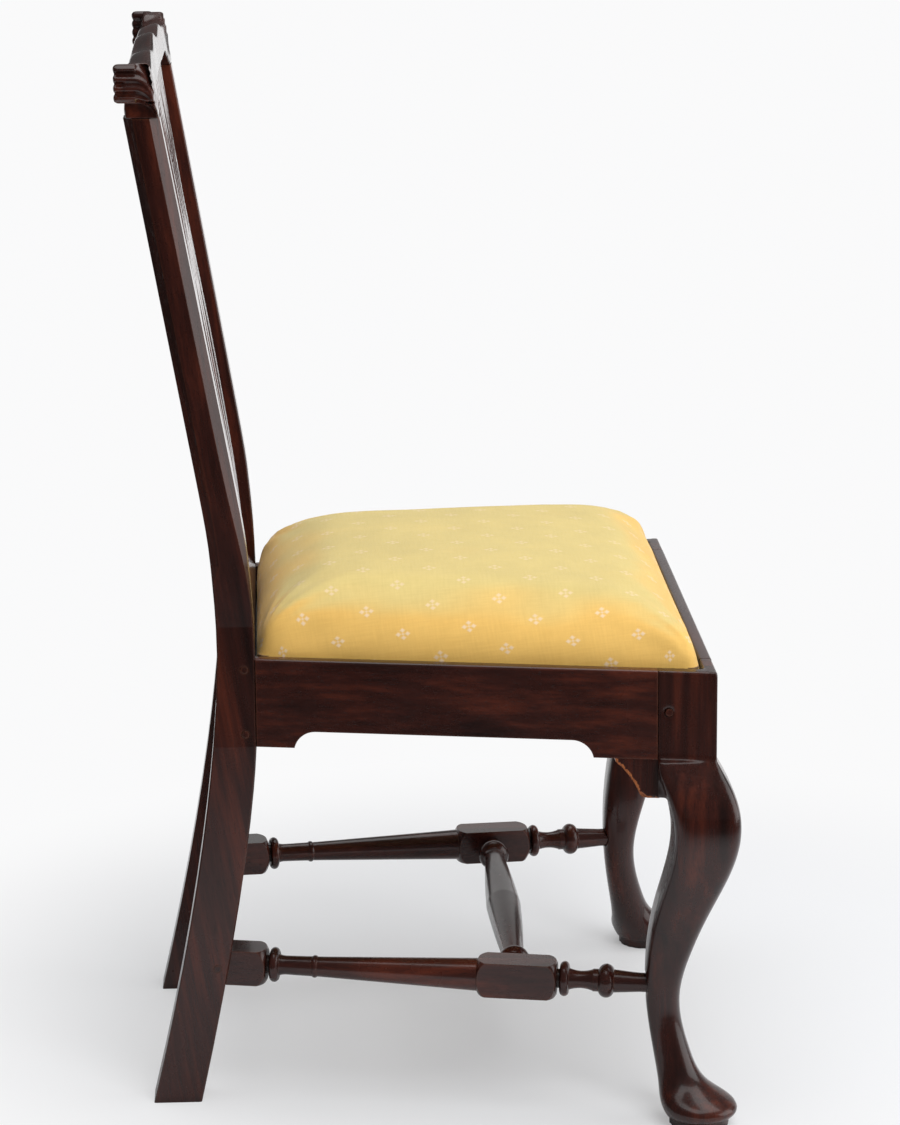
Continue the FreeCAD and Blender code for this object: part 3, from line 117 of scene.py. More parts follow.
def blendColour(tree, share, first, second, mode="MIX"):
    made = place(tree, "ShaderNodeMix", data_type="RGBA", blend_type=mode)
    for socket, given in ((made.inputs[0], share), (made.inputs[6], first), (made.inputs[7], second)):
        if isinstance(given, (int, float)):
            socket.default_value = given
        elif isinstance(given, tuple):
            socket.default_value = (*given, 1)
        else:
            feed(tree, given, socket)
    return made.outputs[2]


def openMaterial(name):
    made = bpy.data.materials.new(name)
    made.use_nodes = True
    tree = made.node_tree
    return made, tree, tree.nodes["Principled BSDF"]


def openGroup(name, takes, gives):
    group = bpy.data.node_groups.new(name, "ShaderNodeTree")
    for label, kind in takes:
        group.interface.new_socket(label, in_out="INPUT", socket_type=kind)
    for label, kind in gives:
        group.interface.new_socket(label, in_out="OUTPUT", socket_type=kind)
    return group, group.nodes.new("NodeGroupInput"), group.nodes.new("NodeGroupOutput")


def useGroup(tree, group, **given):
    made = place(tree, "ShaderNodeGroup")
    made.node_tree = group
    for label, value in given.items():
        if isinstance(value, (int, float)):
            made.inputs[label].default_value = value
        else:
            feed(tree, value, made.inputs[label])
    return made


def stretchedNoise(tree, vector, scale, detail, rough, stretch=(1, 1, 1)):
    mapping = place(tree, "ShaderNodeMapping")
    mapping.inputs["Scale"].default_value = stretch
    feed(tree, vector, mapping.inputs["Vector"])
    made = place(tree, "ShaderNodeTexNoise")
    made.inputs["Scale"].default_value = scale
    made.inputs["Detail"].default_value = detail
    made.inputs["Roughness"].default_value = rough
    feed(tree, mapping.outputs[0], made.inputs["Vector"])
    return made.outputs["Fac"]


# shared effects

grainNoise = {
    "broad": {"scale": 26, "detail": 3, "rough": 0.55, "stretch": (1, 1, 0.09)},
    "streak": {"scale": 120, "detail": 4, "rough": 0.6, "stretch": (1, 1, 0.035)},
    "fibre": {"scale": 620, "detail": 3, "rough": 0.6, "stretch": (1, 1, 0.03)},
    "pore": {"scale": 1150, "detail": 2, "rough": 0.5, "stretch": (1, 1, 0.055)},
}


def makeGrain():
    group, taken, given = openGroup("woodGrain", [("Vector", "NodeSocketVector")], [
        ("Figure", "NodeSocketFloat"), ("Fibre", "NodeSocketFloat"), ("Pores", "NodeSocketFloat")])
    vector = taken.outputs["Vector"]
    broad, streak, fibre, pore = (stretchedNoise(group, vector, **sizes) for sizes in grainNoise.values())
    broad = math2(group, "MULTIPLY", broad, 0.62)
    streak = math2(group, "MULTIPLY", streak, 0.38)
    feed(group, math2(group, "ADD", broad, streak), given.inputs["Figure"])
    feed(group, fibre, given.inputs["Fibre"])
    feed(group, math2(group, "MULTIPLY", math2(group, "SUBTRACT", pore, 0.6), 7, True), given.inputs["Pores"])
    return group


wearAndShadeMarks = {"arris": 0.003, "corner": 0.012}


def makeWearGrimeAndShade():
    # worn arrises; the corners, found by ambient occlusion, get painted shade in the colour and grime in the
    # roughness
    group, taken, given = openGroup("wearGrimeAndShade", [("Vector", "NodeSocketVector")], [
        ("Edge", "NodeSocketFloat"), ("GrimeAndShade", "NodeSocketFloat"), ("Handling", "NodeSocketFloat")])
    soft = place(group, "ShaderNodeBevel", samples=6)
    soft.inputs["Radius"].default_value = wearAndShadeMarks["arris"]
    plain = place(group, "ShaderNodeNewGeometry")
    dot = place(group, "ShaderNodeVectorMath", operation="DOT_PRODUCT")
    feed(group, soft.outputs[0], dot.inputs[0])
    feed(group, plain.outputs["Normal"], dot.inputs[1])
    patchy = stretchedNoise(group, taken.outputs["Vector"], scale=55, detail=4, rough=0.65)
    edge = math2(group, "MULTIPLY", math2(group, "SUBTRACT", 1.0, dot.outputs["Value"]), 5, True)
    edge = math2(group, "MULTIPLY", edge, math2(group, "MULTIPLY", patchy, 1.6, True))
    feed(group, edge, given.inputs["Edge"])
    # painted shade: ambient occlusion marks the corners where shade falls
    hidden = place(group, "ShaderNodeAmbientOcclusion", samples=6)
    hidden.inputs["Distance"].default_value = wearAndShadeMarks["corner"]
    cornerShade = math2(group, "MULTIPLY", math2(group, "SUBTRACT", 0.8, hidden.outputs["AO"]), 1.7, True)
    feed(group, cornerShade, given.inputs["GrimeAndShade"])
    handling = stretchedNoise(group, taken.outputs["Vector"], scale=9, detail=5, rough=0.6)
    feed(group, handling, given.inputs["Handling"])
    return group


woodGrain = makeGrain()
wearGrimeAndShade = makeWearGrimeAndShade()


# wood finishes; the grain runs along the axis named for each material

mahogany = {
    "dark": (0.011, 0.0032, 0.0024),
    "body": (0.033, 0.0076, 0.005),
    "streak": (0.098, 0.019, 0.0085),
    "worn": (0.13, 0.044, 0.022),
    "pore": (0.005, 0.0022, 0.0018),
    "coatWeight": 0.3,
    "coatRoughness": 0.08,
    "specular": 0.32,
    "poreShare": 0.55, "wornShare": 0.5, "cornerShadeShare": 0.8,
    "polish": 0.17, "handled": 0.2, "grimy": 0.3, "arris": 0.0012, "relief": 0.0006,
}

grainTurns = {
    "upright": (0, 0, 0),
    "leaning": (math.radians(9), 0, 0),
    "lengthwise": (math.radians(90), 0, 0),
    "crosswise": (0, math.radians(90), 0),
}


def grainVector(tree, turn):
    coordinates = place(tree, "ShaderNodeTexCoord")
    mapping = place(tree, "ShaderNodeMapping")
    mapping.inputs["Rotation"].default_value = turn
    feed(tree, coordinates.outputs["Object"], mapping.inputs["Vector"])
    return coordinates.outputs["Object"], mapping.outputs[0]


def makeMahogany(name, run, lift=1.0):
    made, tree, shader = openMaterial(name)
    flat, along = grainVector(tree, grainTurns[run])
    grain = useGroup(tree, woodGrain, Vector=along)
    wear = useGroup(tree, wearGrimeAndShade, Vector=flat)
    tones = [tuple(part * lift for part in mahogany[tone]) for tone in ("dark", "body", "streak")]
    colour = ramp(tree, grain.outputs["Figure"], [(0.34, tones[0]), (0.5, tones[1]), (0.68, tones[2])])
    fibreShade = math2(tree, "ADD", math2(tree, "MULTIPLY", grain.outputs["Fibre"], 0.7), 0.65)
    colour = blendColour(tree, 1.0, colour, fibreShade, "MULTIPLY")
    for source, share, tone in (
        (grain.outputs["Pores"], "poreShare", "pore"),
        (wear.outputs["Edge"], "wornShare", "worn"),
        # painted shade: corners darkened towards the pore colour
        (wear.outputs["GrimeAndShade"], "cornerShadeShare", "pore"),
    ):
        colour = blendColour(tree, math2(tree, "MULTIPLY", source, mahogany[share]), colour, mahogany[tone])
    feed(tree, colour, shader.inputs["Base Color"])
    handled = math2(tree, "MULTIPLY", wear.outputs["Handling"], mahogany["handled"])
    grimy = math2(tree, "MULTIPLY", wear.outputs["GrimeAndShade"], mahogany["grimy"])
    rough = math2(tree, "ADD", math2(tree, "ADD", handled, mahogany["polish"]), grimy)
    feed(tree, rough, shader.inputs["Roughness"])
    shader.inputs["Specular IOR Level"].default_value = mahogany["specular"]
    shader.inputs["Coat Weight"].default_value = mahogany["coatWeight"]
    shader.inputs["Coat Roughness"].default_value = mahogany["coatRoughness"]
    eased = place(tree, "ShaderNodeBevel", samples=6)
    eased.inputs["Radius"].default_value = mahogany["arris"]
    bump = place(tree, "ShaderNodeBump")
    bump.inputs["Strength"].default_value = 0.35
    bump.inputs["Distance"].default_value = mahogany["relief"]
    height = math2(tree, "SUBTRACT", math2(tree, "MULTIPLY", wear.outputs["Handling"], 1.5),
                   math2(tree, "MULTIPLY", grain.outputs["Pores"], 0.3))
    feed(tree, height, bump.inputs["Height"])
    feed(tree, eased.outputs[0], bump.inputs["Normal"])
    feed(tree, bump.outputs[0], shader.inputs["Normal"])
    return made


sawnWood = {"dark": (0.19, 0.105, 0.05), "pale": (0.4, 0.25, 0.12), "cornerShade": (0.05, 0.03, 0.02)}


def makeSawnWood(name, run):
    made, tree, shader = openMaterial(name)
    flat, along = grainVector(tree, grainTurns[run])
    grain = useGroup(tree, woodGrain, Vector=along)
    wear = useGroup(tree, wearGrimeAndShade, Vector=flat)
    colour = ramp(tree, grain.outputs["Figure"], [(0.32, sawnWood["dark"]), (0.62, sawnWood["pale"])])
    # painted shade: corners darkened
    colour = blendColour(tree, math2(tree, "MULTIPLY", wear.outputs["GrimeAndShade"], 0.7), colour, sawnWood["cornerShade"])
    feed(tree, colour, shader.inputs["Base Color"])
    rough = math2(tree, "ADD", math2(tree, "MULTIPLY", grain.outputs["Fibre"], 0.2), 0.6)
    feed(tree, rough, shader.inputs["Roughness"])
    bump = place(tree, "ShaderNodeBump")
    bump.inputs["Strength"].default_value = 0.5
    bump.inputs["Distance"].default_value = 0.0006
    feed(tree, grain.outputs["Fibre"], bump.inputs["Height"])
    feed(tree, bump.outputs[0], shader.inputs["Normal"])
    return made


finishes = {
    "upright": makeMahogany("mahoganyUpright", "upright"),
    "leaning": makeMahogany("mahoganyLeaning", "leaning"),
    "lengthwise": makeMahogany("mahoganyLengthwise", "lengthwise", 1.12),
    "crosswise": makeMahogany("mahoganyCrosswise", "crosswise"),
    "peg": makeMahogany("pegWood", "crosswise", 0.7),
    "sawnLength": makeSawnWood("sawnWoodLength", "lengthwise"),
    "sawnCross": makeSawnWood("sawnWoodCross", "crosswise"),
    "sawnUpright": makeSawnWood("sawnWoodUpright", "upright"),
}
print("wood finishes made:", len(finishes))


# meshes taken over from the frame

def mergedCopy(name):
    bm = bmesh.new()
    bm.from_mesh(nodes[name].data)
    bmesh.ops.remove_doubles(bm, verts=bm.verts, dist=0.00001)
    return bm


def closeMesh(bm, name, sharpAngle=32):
    mesh = bpy.data.meshes.new(name)
    bm.to_mesh(mesh)
    bm.free()
    mesh.shade_smooth()
    if sharpAngle:
        mesh.set_sharp_from_angle(angle=math.radians(sharpAngle))
    made = bpy.data.objects.new(name, mesh)
    scene.collection.objects.link(made)
    return made


def standFor(made, finish, slotName, body, *names):
    made.data.materials.clear()
    made.data.materials.append(finish)
    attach(made, body)
    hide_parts(*names)


def evaluatedMesh(made):
    graph = bpy.context.evaluated_depsgraph_get()
    return bpy.data.meshes.new_from_object(made.evaluated_get(graph), depsgraph=graph)


def wornCopy(name, voxel, passes):
    # remeshed finely and rubbed smooth, as hand-shaped wood
    source = closeMesh(mergedCopy(name), name + "_blank", sharpAngle=0)
    remesh = source.modifiers.new("remesh", "REMESH")
    remesh.mode = "VOXEL"
    remesh.voxel_size = voxel
    remesh.use_smooth_shade = True
    rub = source.modifiers.new("rub", "SMOOTH")
    rub.factor = 0.5
    rub.iterations = passes
    mesh = evaluatedMesh(source)
    bpy.data.objects.remove(source)
    mesh.name = name + "_worn"
    mesh.shade_smooth()
    made = bpy.data.objects.new(name + "_worn", mesh)
    scene.collection.objects.link(made)
    return made


def easedCopy(name, width, wanted):
    # convex arrises that pass the test get a small round
    bm = mergedCopy(name)
    bmesh.ops.dissolve_limit(bm, angle_limit=math.radians(0.6), verts=bm.verts, edges=bm.edges)
    chosen = []
    for edge in bm.edges:
        if len(edge.link_faces) == 2 and edge.is_convex and edge.calc_face_angle(0) > math.radians(30):
            if wanted(edge.verts[0].co, edge.verts[1].co):
                chosen.append(edge)
    bmesh.ops.bevel(bm, geom=chosen, offset=width, offset_type="OFFSET", segments=3, profile=0.5,
                    affect="EDGES", material=-1, clamp_overlap=True)
    return closeMesh(bm, name + "_eased", sharpAngle=35)


# seat rails and shoe

railEase = {
    "round": 0.0022, "shoeRound": 0.0015, "above": 0.42,
    "sideEnds": (-0.196, 0.159), "frontEnds": (-0.214, 0.214), "shoeEnds": (-0.153, 0.153),
}


def betweenEnds(axis, ends):
    # upper edges that run between the joints, but not the edges of the joints themselves
    low, high = ends

    def wanted(first, second):
        inside = all(low - 0.0002 <= point[axis] <= high + 0.0002 and point.z > railEase["above"]
                     for point in (first, second))
        atLow = max(abs(first[axis] - low), abs(second[axis] - low)) < 0.0003
        atHigh = max(abs(first[axis] - high), abs(second[axis] - high)) < 0.0003
        return inside and not atLow and not atHigh
    return wanted


def dressRails():
    for side in ("left", "right"):
        rail = easedCopy("side_seat_rail_" + side, railEase["round"], betweenEnds(1, railEase["sideEnds"]))
        standFor(rail, finishes["lengthwise"], "mahogany", "chair_frame", "side_seat_rail_" + side)
    front = easedCopy("front_seat_rail", railEase["round"], betweenEnds(0, railEase["frontEnds"]))
    standFor(front, finishes["crosswise"], "mahogany", "chair_frame", "front_seat_rail")
    shoe = easedCopy("splat_shoe", railEase["shoeRound"], betweenEnds(0, railEase["shoeEnds"]))
    standFor(shoe, finishes["crosswise"], "mahogany", "chair_frame", "splat_shoe")


dressRails()
print("rails eased")


# front legs, crest and splat as carved wood

carving = {
    "legVoxel": 0.0018, "legPasses": 4,
    "crestVoxel": 0.0013, "crestPasses": 2,
    "splatVoxel": 0.0017, "splatPasses": 2,
    "ridgeDepth": 0.0016, "frontRidge": 0.0009, "ridgePitch": 0.0082, "firstRidge": 0.0198,
    "fanY": 0.2515, "fanZ": 0.914, "fanDepth": 0.0195,
    "endX": 0.2360, "earOverhang": 0.016, "earFoot": 0.015, "earTop": 0.049,
    "kneeLow": 0.15, "kneeHigh": 0.338, "kneePasses": 60, "glueY": -0.2, "glueX": 0.218,
    "topPasses": 30, "topFall": 0.012, "frontY": 0.2345, "thick": 0.034,
    "earPasses": 5, "footStep": 0.002,
    "fanFoot": (0.012, 0.017), "fanTop": (0.046, 0.052), "outward": (0.2, 0.6),
    "footX": 0.198, "footHeights": (0.918, 0.934),
    "ridgeX": 0.17, "ridgeReach": (0.185, 0.228), "ridgeHeights": (0.919, 0.93),
    "kneeFade": 0.05, "kneeEnd": 0.012, "glueFade": 0.016, "calf": (0.285, 0.3),
    "topHeights": (0.936, 0.946), "topEnds": (0.214, 0.226), "earEnds": (0.224, 0.234),
    "rollHeights": (0.93, 0.967), "rollEnds": (0.216, 0.23),
    "cordPitch": 26, "cordHalf": 2.2, "cordSway": 6, "cordBend": 21,
    "cordFrom": 0.74, "cordDepth": 0.0005, "cordTwist": 0.006,
}


def smoothStep(low, high, value):
    share = min(max((value - low) / (high - low), 0), 1)
    return share * share * (3 - 2 * share)


def earReach(height):
    # how far the ear stands out beside the stile, as in the frame
    low, high = carving["earFoot"], carving["earTop"]
    share = (2 * height - low - high) / (high - low)
    return carving["earOverhang"] * math.sqrt(max(1 - share * share, 0))


def carveCrest(mesh):
    # ridges fan out from the rolls of the ear and meet low on the front corner
    normals = [vertex.normal.copy() for vertex in mesh.vertices]
    for vertex, normal in zip(mesh.vertices, normals):
        x, y, z = vertex.co
        aside = abs(x)
        side = 1 if x > 0 else -1
        outward = normal.x * side
        turn = min(max((carving["fanY"] - y) / carving["fanDepth"], 0), 0.96)
        climb = (z - carving["fanZ"]) / math.sqrt(1 - turn * turn)
        ridge = math.cos(2 * math.pi * (climb - carving["firstRidge"]) / carving["ridgePitch"]) - 0.5
        inFan = smoothStep(*carving["fanFoot"], climb) * (1 - smoothStep(*carving["fanTop"], climb))
        if aside > carving["endX"] - 0.003 and outward > carving["outward"][0]:
            target = carving["endX"] + earReach(climb)
            faced = smoothStep(*carving["outward"], outward)
            pull = faced * smoothStep(0, 0.25, turn)
            depth = carving["ridgeDepth"] * inFan * ridge * (1 - 0.45 * turn)
            vertex.co.x = side * (aside + (target - aside) * pull + depth * faced)
        elif normal.y > 0.3 and aside > carving["footX"]:    # flush with the back of the stile at the joint
            vertex.co.y = y + carving["footStep"] * (1 - smoothStep(*carving["footHeights"], z))
        elif normal.y < -0.3 and aside > carving["ridgeX"]:
            reach = smoothStep(*carving["ridgeReach"], aside)
            sweep = z + 0.5 * (carving["endX"] - aside)
            turns = (sweep - carving["fanZ"] - carving["firstRidge"]) / carving["ridgePitch"]
            wave = math.cos(2 * math.pi * turns) - 0.5
            vertex.co.y = y - carving["frontRidge"] * reach * wave * smoothStep(*carving["ridgeHeights"], z)


def carveSplat(mesh):
    # twisted cords run down the upper part of the splat's face; widths in millimetres
    normals = [vertex.normal.copy() for vertex in mesh.vertices]
    for vertex, normal in zip(mesh.vertices, normals):
        if normal.y < -0.8:
            x, y, z = vertex.co
            swayed = abs(x) * 1000 + carving["cordSway"] * math.sin(z * carving["cordBend"])
            beside = abs(swayed % carving["cordPitch"] - carving["cordPitch"] / 2)
            if beside < carving["cordHalf"] and z > carving["cordFrom"]:
                twist = math.sin(2 * math.pi * (z - abs(x)) / carving["cordTwist"])
                vertex.co.y = y + carving["cordDepth"] * (1 + twist)


def kneeZone(point):
    # knee and calf, but not where the brackets are glued on
    share = smoothStep(carving["kneeLow"], carving["kneeLow"] + carving["kneeFade"], point.z)
    share *= 1 - smoothStep(carving["kneeHigh"] - carving["kneeEnd"], carving["kneeHigh"], point.z)
    clear = smoothStep(0, carving["glueFade"], carving["glueY"] - point.y)
    clear *= smoothStep(0, carving["glueFade"], abs(point.x) - carving["glueX"])
    return share * max(clear, 1 - smoothStep(*carving["calf"], point.z))


def topZone(point):
    # the upper half of the crest between the ears
    return smoothStep(*carving["topHeights"], point.z) * (1 - smoothStep(*carving["topEnds"], abs(point.x)))


def earZone(point):
    # the carved ends of the crest
    return smoothStep(*carving["earEnds"], abs(point.x))


def rollTop(mesh):
    # the top is rolled over towards the back
    for vertex in mesh.vertices:
        back = min(max((vertex.co.y - carving["frontY"]) / carving["thick"], 0), 1)
        between = 1 - smoothStep(*carving["rollEnds"], abs(vertex.co.x))
        upper = smoothStep(*carving["rollHeights"], vertex.co.z)
        vertex.co.z -= carving["topFall"] * back * back * between * upper


def rubZone(piece, zone, passes):
    group = piece.vertex_groups.new(name="zone")
    for vertex in piece.data.vertices:
        share = zone(vertex.co)
        if share > 0.01:
            group.add([vertex.index], share, "REPLACE")
    rub = piece.modifiers.new("rub", "SMOOTH")
    rub.factor = 0.5
    rub.iterations = passes
    rub.vertex_group = group.name
    mesh = evaluatedMesh(piece)
    piece.modifiers.clear()
    piece.vertex_groups.clear()
    piece.data = mesh


def dressCarved():
    for side in ("left", "right"):
        leg = wornCopy("front_leg_" + side, carving["legVoxel"], carving["legPasses"])
        rubZone(leg, kneeZone, carving["kneePasses"])
        standFor(leg, finishes["upright"], "mahogany", "chair_frame", "front_leg_" + side)
    crest = wornCopy("crest_rail", carving["crestVoxel"], carving["crestPasses"])
    rollTop(crest.data)
    rubZone(crest, topZone, carving["topPasses"])
    carveCrest(crest.data)
    rubZone(crest, earZone, carving["earPasses"])
    standFor(crest, finishes["crosswise"], "mahogany", "chair_frame", "crest_rail")
    splat = wornCopy("splat", carving["splatVoxel"], carving["splatPasses"])
    carveSplat(splat.data)
    standFor(splat, finishes["leaning"], "mahogany", "chair_frame", "splat")


dressCarved()
print("carved pieces made")


# knee brackets; the side one towards the camera has lost its lower skin

kneeBracket = {
    "voxel": 0.0012, "passes": 4, "gluedIn": 0.0022, "topMargin": 0.003, "sideMargin": 0.004,
    "node": "knee_bracket_side_right",
    "through": (-0.2575, -0.1615, 0.3415),
    "facing": (-0.64, 0.57, -0.52),
    "raw": (0.44, 0.135, 0.036), "rawDark": (0.2, 0.052, 0.015),
    "cuts": 4, "roughness": 0.0012, "roughGrain": 160, "splinters": 0.0006, "splinterGrain": 520,
    "onCut": 0.97, "nearCut": 0.75,
}


def makeRawWood():
    made, tree, shader = openMaterial("rawMahogany")
    grain = useGroup(tree, woodGrain, Vector=grainVector(tree, grainTurns["upright"])[1])
    splinter = math2(tree, "ADD", grain.outputs["Figure"], grain.outputs["Fibre"])
    splinter = math2(tree, "MULTIPLY", splinter, 0.5)
    colour = ramp(tree, splinter, [(0.36, kneeBracket["rawDark"]), (0.58, kneeBracket["raw"])])
    feed(tree, colour, shader.inputs["Base Color"])
    shader.inputs["Roughness"].default_value = 0.75
    bump = place(tree, "ShaderNodeBump")
    bump.inputs["Distance"].default_value = 0.0012
    feed(tree, grain.outputs["Fibre"], bump.inputs["Height"])
    feed(tree, bump.outputs[0], shader.inputs["Normal"])
    return made


def gluedBracket(name):
    # rubbed smooth, but tight against the rail and the leg
    piece = wornCopy(name, kneeBracket["voxel"], kneeBracket["passes"])
    low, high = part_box(name)
    outer = max(abs(low.x), abs(high.x))
    for vertex in piece.data.vertices:
        if vertex.co.z > high.z - kneeBracket["topMargin"]:
            vertex.co.z += kneeBracket["gluedIn"]
        if "side" in name and vertex.co.y < low.y + kneeBracket["sideMargin"]:
            vertex.co.y -= kneeBracket["gluedIn"]
        if "front" in name and abs(vertex.co.x) > outer - kneeBracket["sideMargin"]:
            vertex.co.x += math.copysign(kneeBracket["gluedIn"], vertex.co.x)
    return piece


def breakBracket():
    blank = gluedBracket(kneeBracket["node"])
    bm = bmesh.new()
    bm.from_mesh(blank.data)
    bpy.data.objects.remove(blank)
    cut = bmesh.ops.bisect_plane(bm, geom=bm.verts[:] + bm.edges[:] + bm.faces[:], clear_outer=True,
                                 plane_co=kneeBracket["through"], plane_no=kneeBracket["facing"])
    rim = [item for item in cut["geom_cut"] if isinstance(item, bmesh.types.BMEdge)]
    facing = Vector(kneeBracket["facing"]).normalized()
    bmesh.ops.triangle_fill(bm, use_beauty=True, use_dissolve=False, edges=rim, normal=facing)
    bmesh.ops.recalc_face_normals(bm, faces=bm.faces)
    raw = [face for face in bm.faces if face.normal.dot(facing) > kneeBracket["onCut"]]
    inner = list({edge for face in raw for edge in face.edges})
    bmesh.ops.subdivide_edges(bm, edges=inner, cuts=kneeBracket["cuts"], use_grid_fill=True)
    bm.normal_update()
    for vertex in bm.verts:
        towards = [face.normal.dot(facing) for face in vertex.link_faces]
        if towards and min(towards) > kneeBracket["onCut"]:
            rough = kneeBracket["roughness"] * noise.noise(vertex.co * kneeBracket["roughGrain"])
            splinter = kneeBracket["splinters"] * noise.noise(vertex.co * kneeBracket["splinterGrain"])
            vertex.co += facing * (rough + splinter)
    piece = closeMesh(bm, "knee_bracket_broken", sharpAngle=30)
    standFor(piece, finishes["upright"], "mahogany", "chair_frame", kneeBracket["node"])
    piece.data.materials.append(makeRawWood())
    for face in piece.data.polygons:
        if face.normal.dot(facing) > kneeBracket["nearCut"]:
            face.material_index = 1


def roundBrackets():
    for name in nodes:
        if name.startswith("knee_bracket") and name != kneeBracket["node"]:
            piece = gluedBracket(name)
            standFor(piece, finishes["upright"], "mahogany", "chair_frame", name)


breakBracket()
roundBrackets()
print("knee brackets made")


# nodes whose shape is right keep it and get their finish

def dressPlain():
    chosen = {
        "rear_stile": "leaning", "side_stretcher": "lengthwise",
        "corner_block_front": "sawnUpright", "corner_block_rear": "sawnUpright",
        "seat_frame_left": "sawnLength", "seat_frame_right": "sawnLength", "seat_frame_front": "sawnCross",
        "seat_frame_rear": "sawnCross", "rear_seat_rail": "crosswise", "medial_stretcher": "crosswise",
        "rear_stretcher": "crosswise", "stile_joint_pegs": "peg", "post_joint_pegs": "peg",
        "stretcher_joint_pegs": "peg", "cover_tacks": "tack",
    }
    for name, node in nodes.items():
        for start, finish in chosen.items():
            if name.startswith(start):
                node.data.materials.clear()
                node.data.materials.append(finishes[finish])


tackIron = {"dark": (0.03, 0.028, 0.027), "rust": (0.11, 0.06, 0.04)}


def makeTackIron():
    made, tree, shader = openMaterial("tackIron")
    coordinates = place(tree, "ShaderNodeTexCoord")
    patch = stretchedNoise(tree, coordinates.outputs["Object"], scale=900, detail=4, rough=0.6)
    colour = ramp(tree, patch, [(0.4, tackIron["dark"]), (0.65, tackIron["rust"])])
    feed(tree, colour, shader.inputs["Base Color"])
    shader.inputs["Metallic"].default_value = 0.7
    feed(tree, math2(tree, "ADD", math2(tree, "MULTIPLY", patch, 0.4), 0.35), shader.inputs["Roughness"])
    return made


finishes["tack"] = makeTackIron()
dressPlain()
print("plain nodes finished")


# slip seat cover: fabric with small pale sprigs

seatCloth = {
    "ground": (0.96, 0.61, 0.17),
    "shade": (0.80, 0.46, 0.105),
    # the top's paler, greener colours are painted light, for the sheen and light on it
    "paintedTop": (0.80, 0.635, 0.25),
    "paintedTopDark": (0.66, 0.51, 0.175),
    "sprig": (0.95, 0.74, 0.56),
    "pitch": 0.060, "petalReach": 0.0042, "petal": 0.0034, "heart": 0.0023, "edge": 480,
    "thread": 0.0011,
    "voxel": 0.0057,
    "pressure": 4.0,
    "frames": 20,
    "cap": 0.006,
    "smoothing": 21,
    "thickness": 0.0012,
    "frontY": -0.2357, "rearY": 0.1582, "frontHalf": 0.24865, "flare": 0.18673,
    "wallTop": 0.439, "round": 0.058, "rise": 0.048, "frontDrop": 0.008,
    "holdBelow": 0.4285, "shelf": 0.405, "flap": 0.034,
    "coverGap": 0.0003, "wrap": 0.018, "freeMargin": 0.004, "flapMargin": 0.004,
    "foldFrom": 0.426, "foldReach": 0.15, "foldHeight": 0.0011,
    "foldStart": (0.012, 0.035), "foldEnd": (0.05, 0.14),
    # how the painted paler top is spread: its patchiness, their grain, and the upward facing where it starts
    # and ends
    "paintedTopPatch": 0.16, "paintedTopGrain": 14, "fade": (0.66, 0.96),
    "fill": 0.85, "fillInset": 0.004,
    "hairDark": (0.05, 0.035, 0.022), "hair": (0.3, 0.22, 0.13),
}


def sideDistances(x, y):
    slant = math.hypot(1, seatCloth["flare"])
    half = seatCloth["frontHalf"] - seatCloth["flare"] * (y - seatCloth["frontY"])
    lean = Vector((1 / slant, seatCloth["flare"] / slant))
    return [
        (y - seatCloth["frontY"], Vector((0, -1))),
        (seatCloth["rearY"] - y, Vector((0, 1))),
        ((half - x) / slant, lean),
        ((half + x) / slant, Vector((-lean.x, lean.y))),
    ]


def flatPlace(point):
    # where a point of the cover lay on the cloth before it was pulled over the seat
    x, y, z = point
    rise = seatCloth["rise"]
    share = min(max((z - seatCloth["wallTop"]) / rise, 0), 1)
    depth = seatCloth["rearY"] - seatCloth["frontY"]
    fall = seatCloth["frontDrop"] * share * (seatCloth["rearY"] - y) / depth
    share = min(max((z + fall - seatCloth["wallTop"]) / rise, 0), 1)
    start = math.asin(share)
    steps = 8
    arc = 0
    for step in range(steps):
        angle = start + (math.pi / 2 - start) * (step + 0.5) / steps
        pace = math.hypot(seatCloth["round"] * math.sin(angle), rise * math.cos(angle))
        arc += pace * (math.pi / 2 - start) / steps
    across = seatCloth["round"] * math.cos(start)
    spare = arc - across + max(seatCloth["wallTop"] - z, 0)
    outward = Vector((0, 0))
    for distance, direction in sideDistances(x, y):
        outward += direction * math.exp(-max(distance, 0) / seatCloth["wrap"])
    if outward.length < 0.000001:
        return x, y
    outward.normalize()
    return x + outward.x * spare, y + outward.y * spare


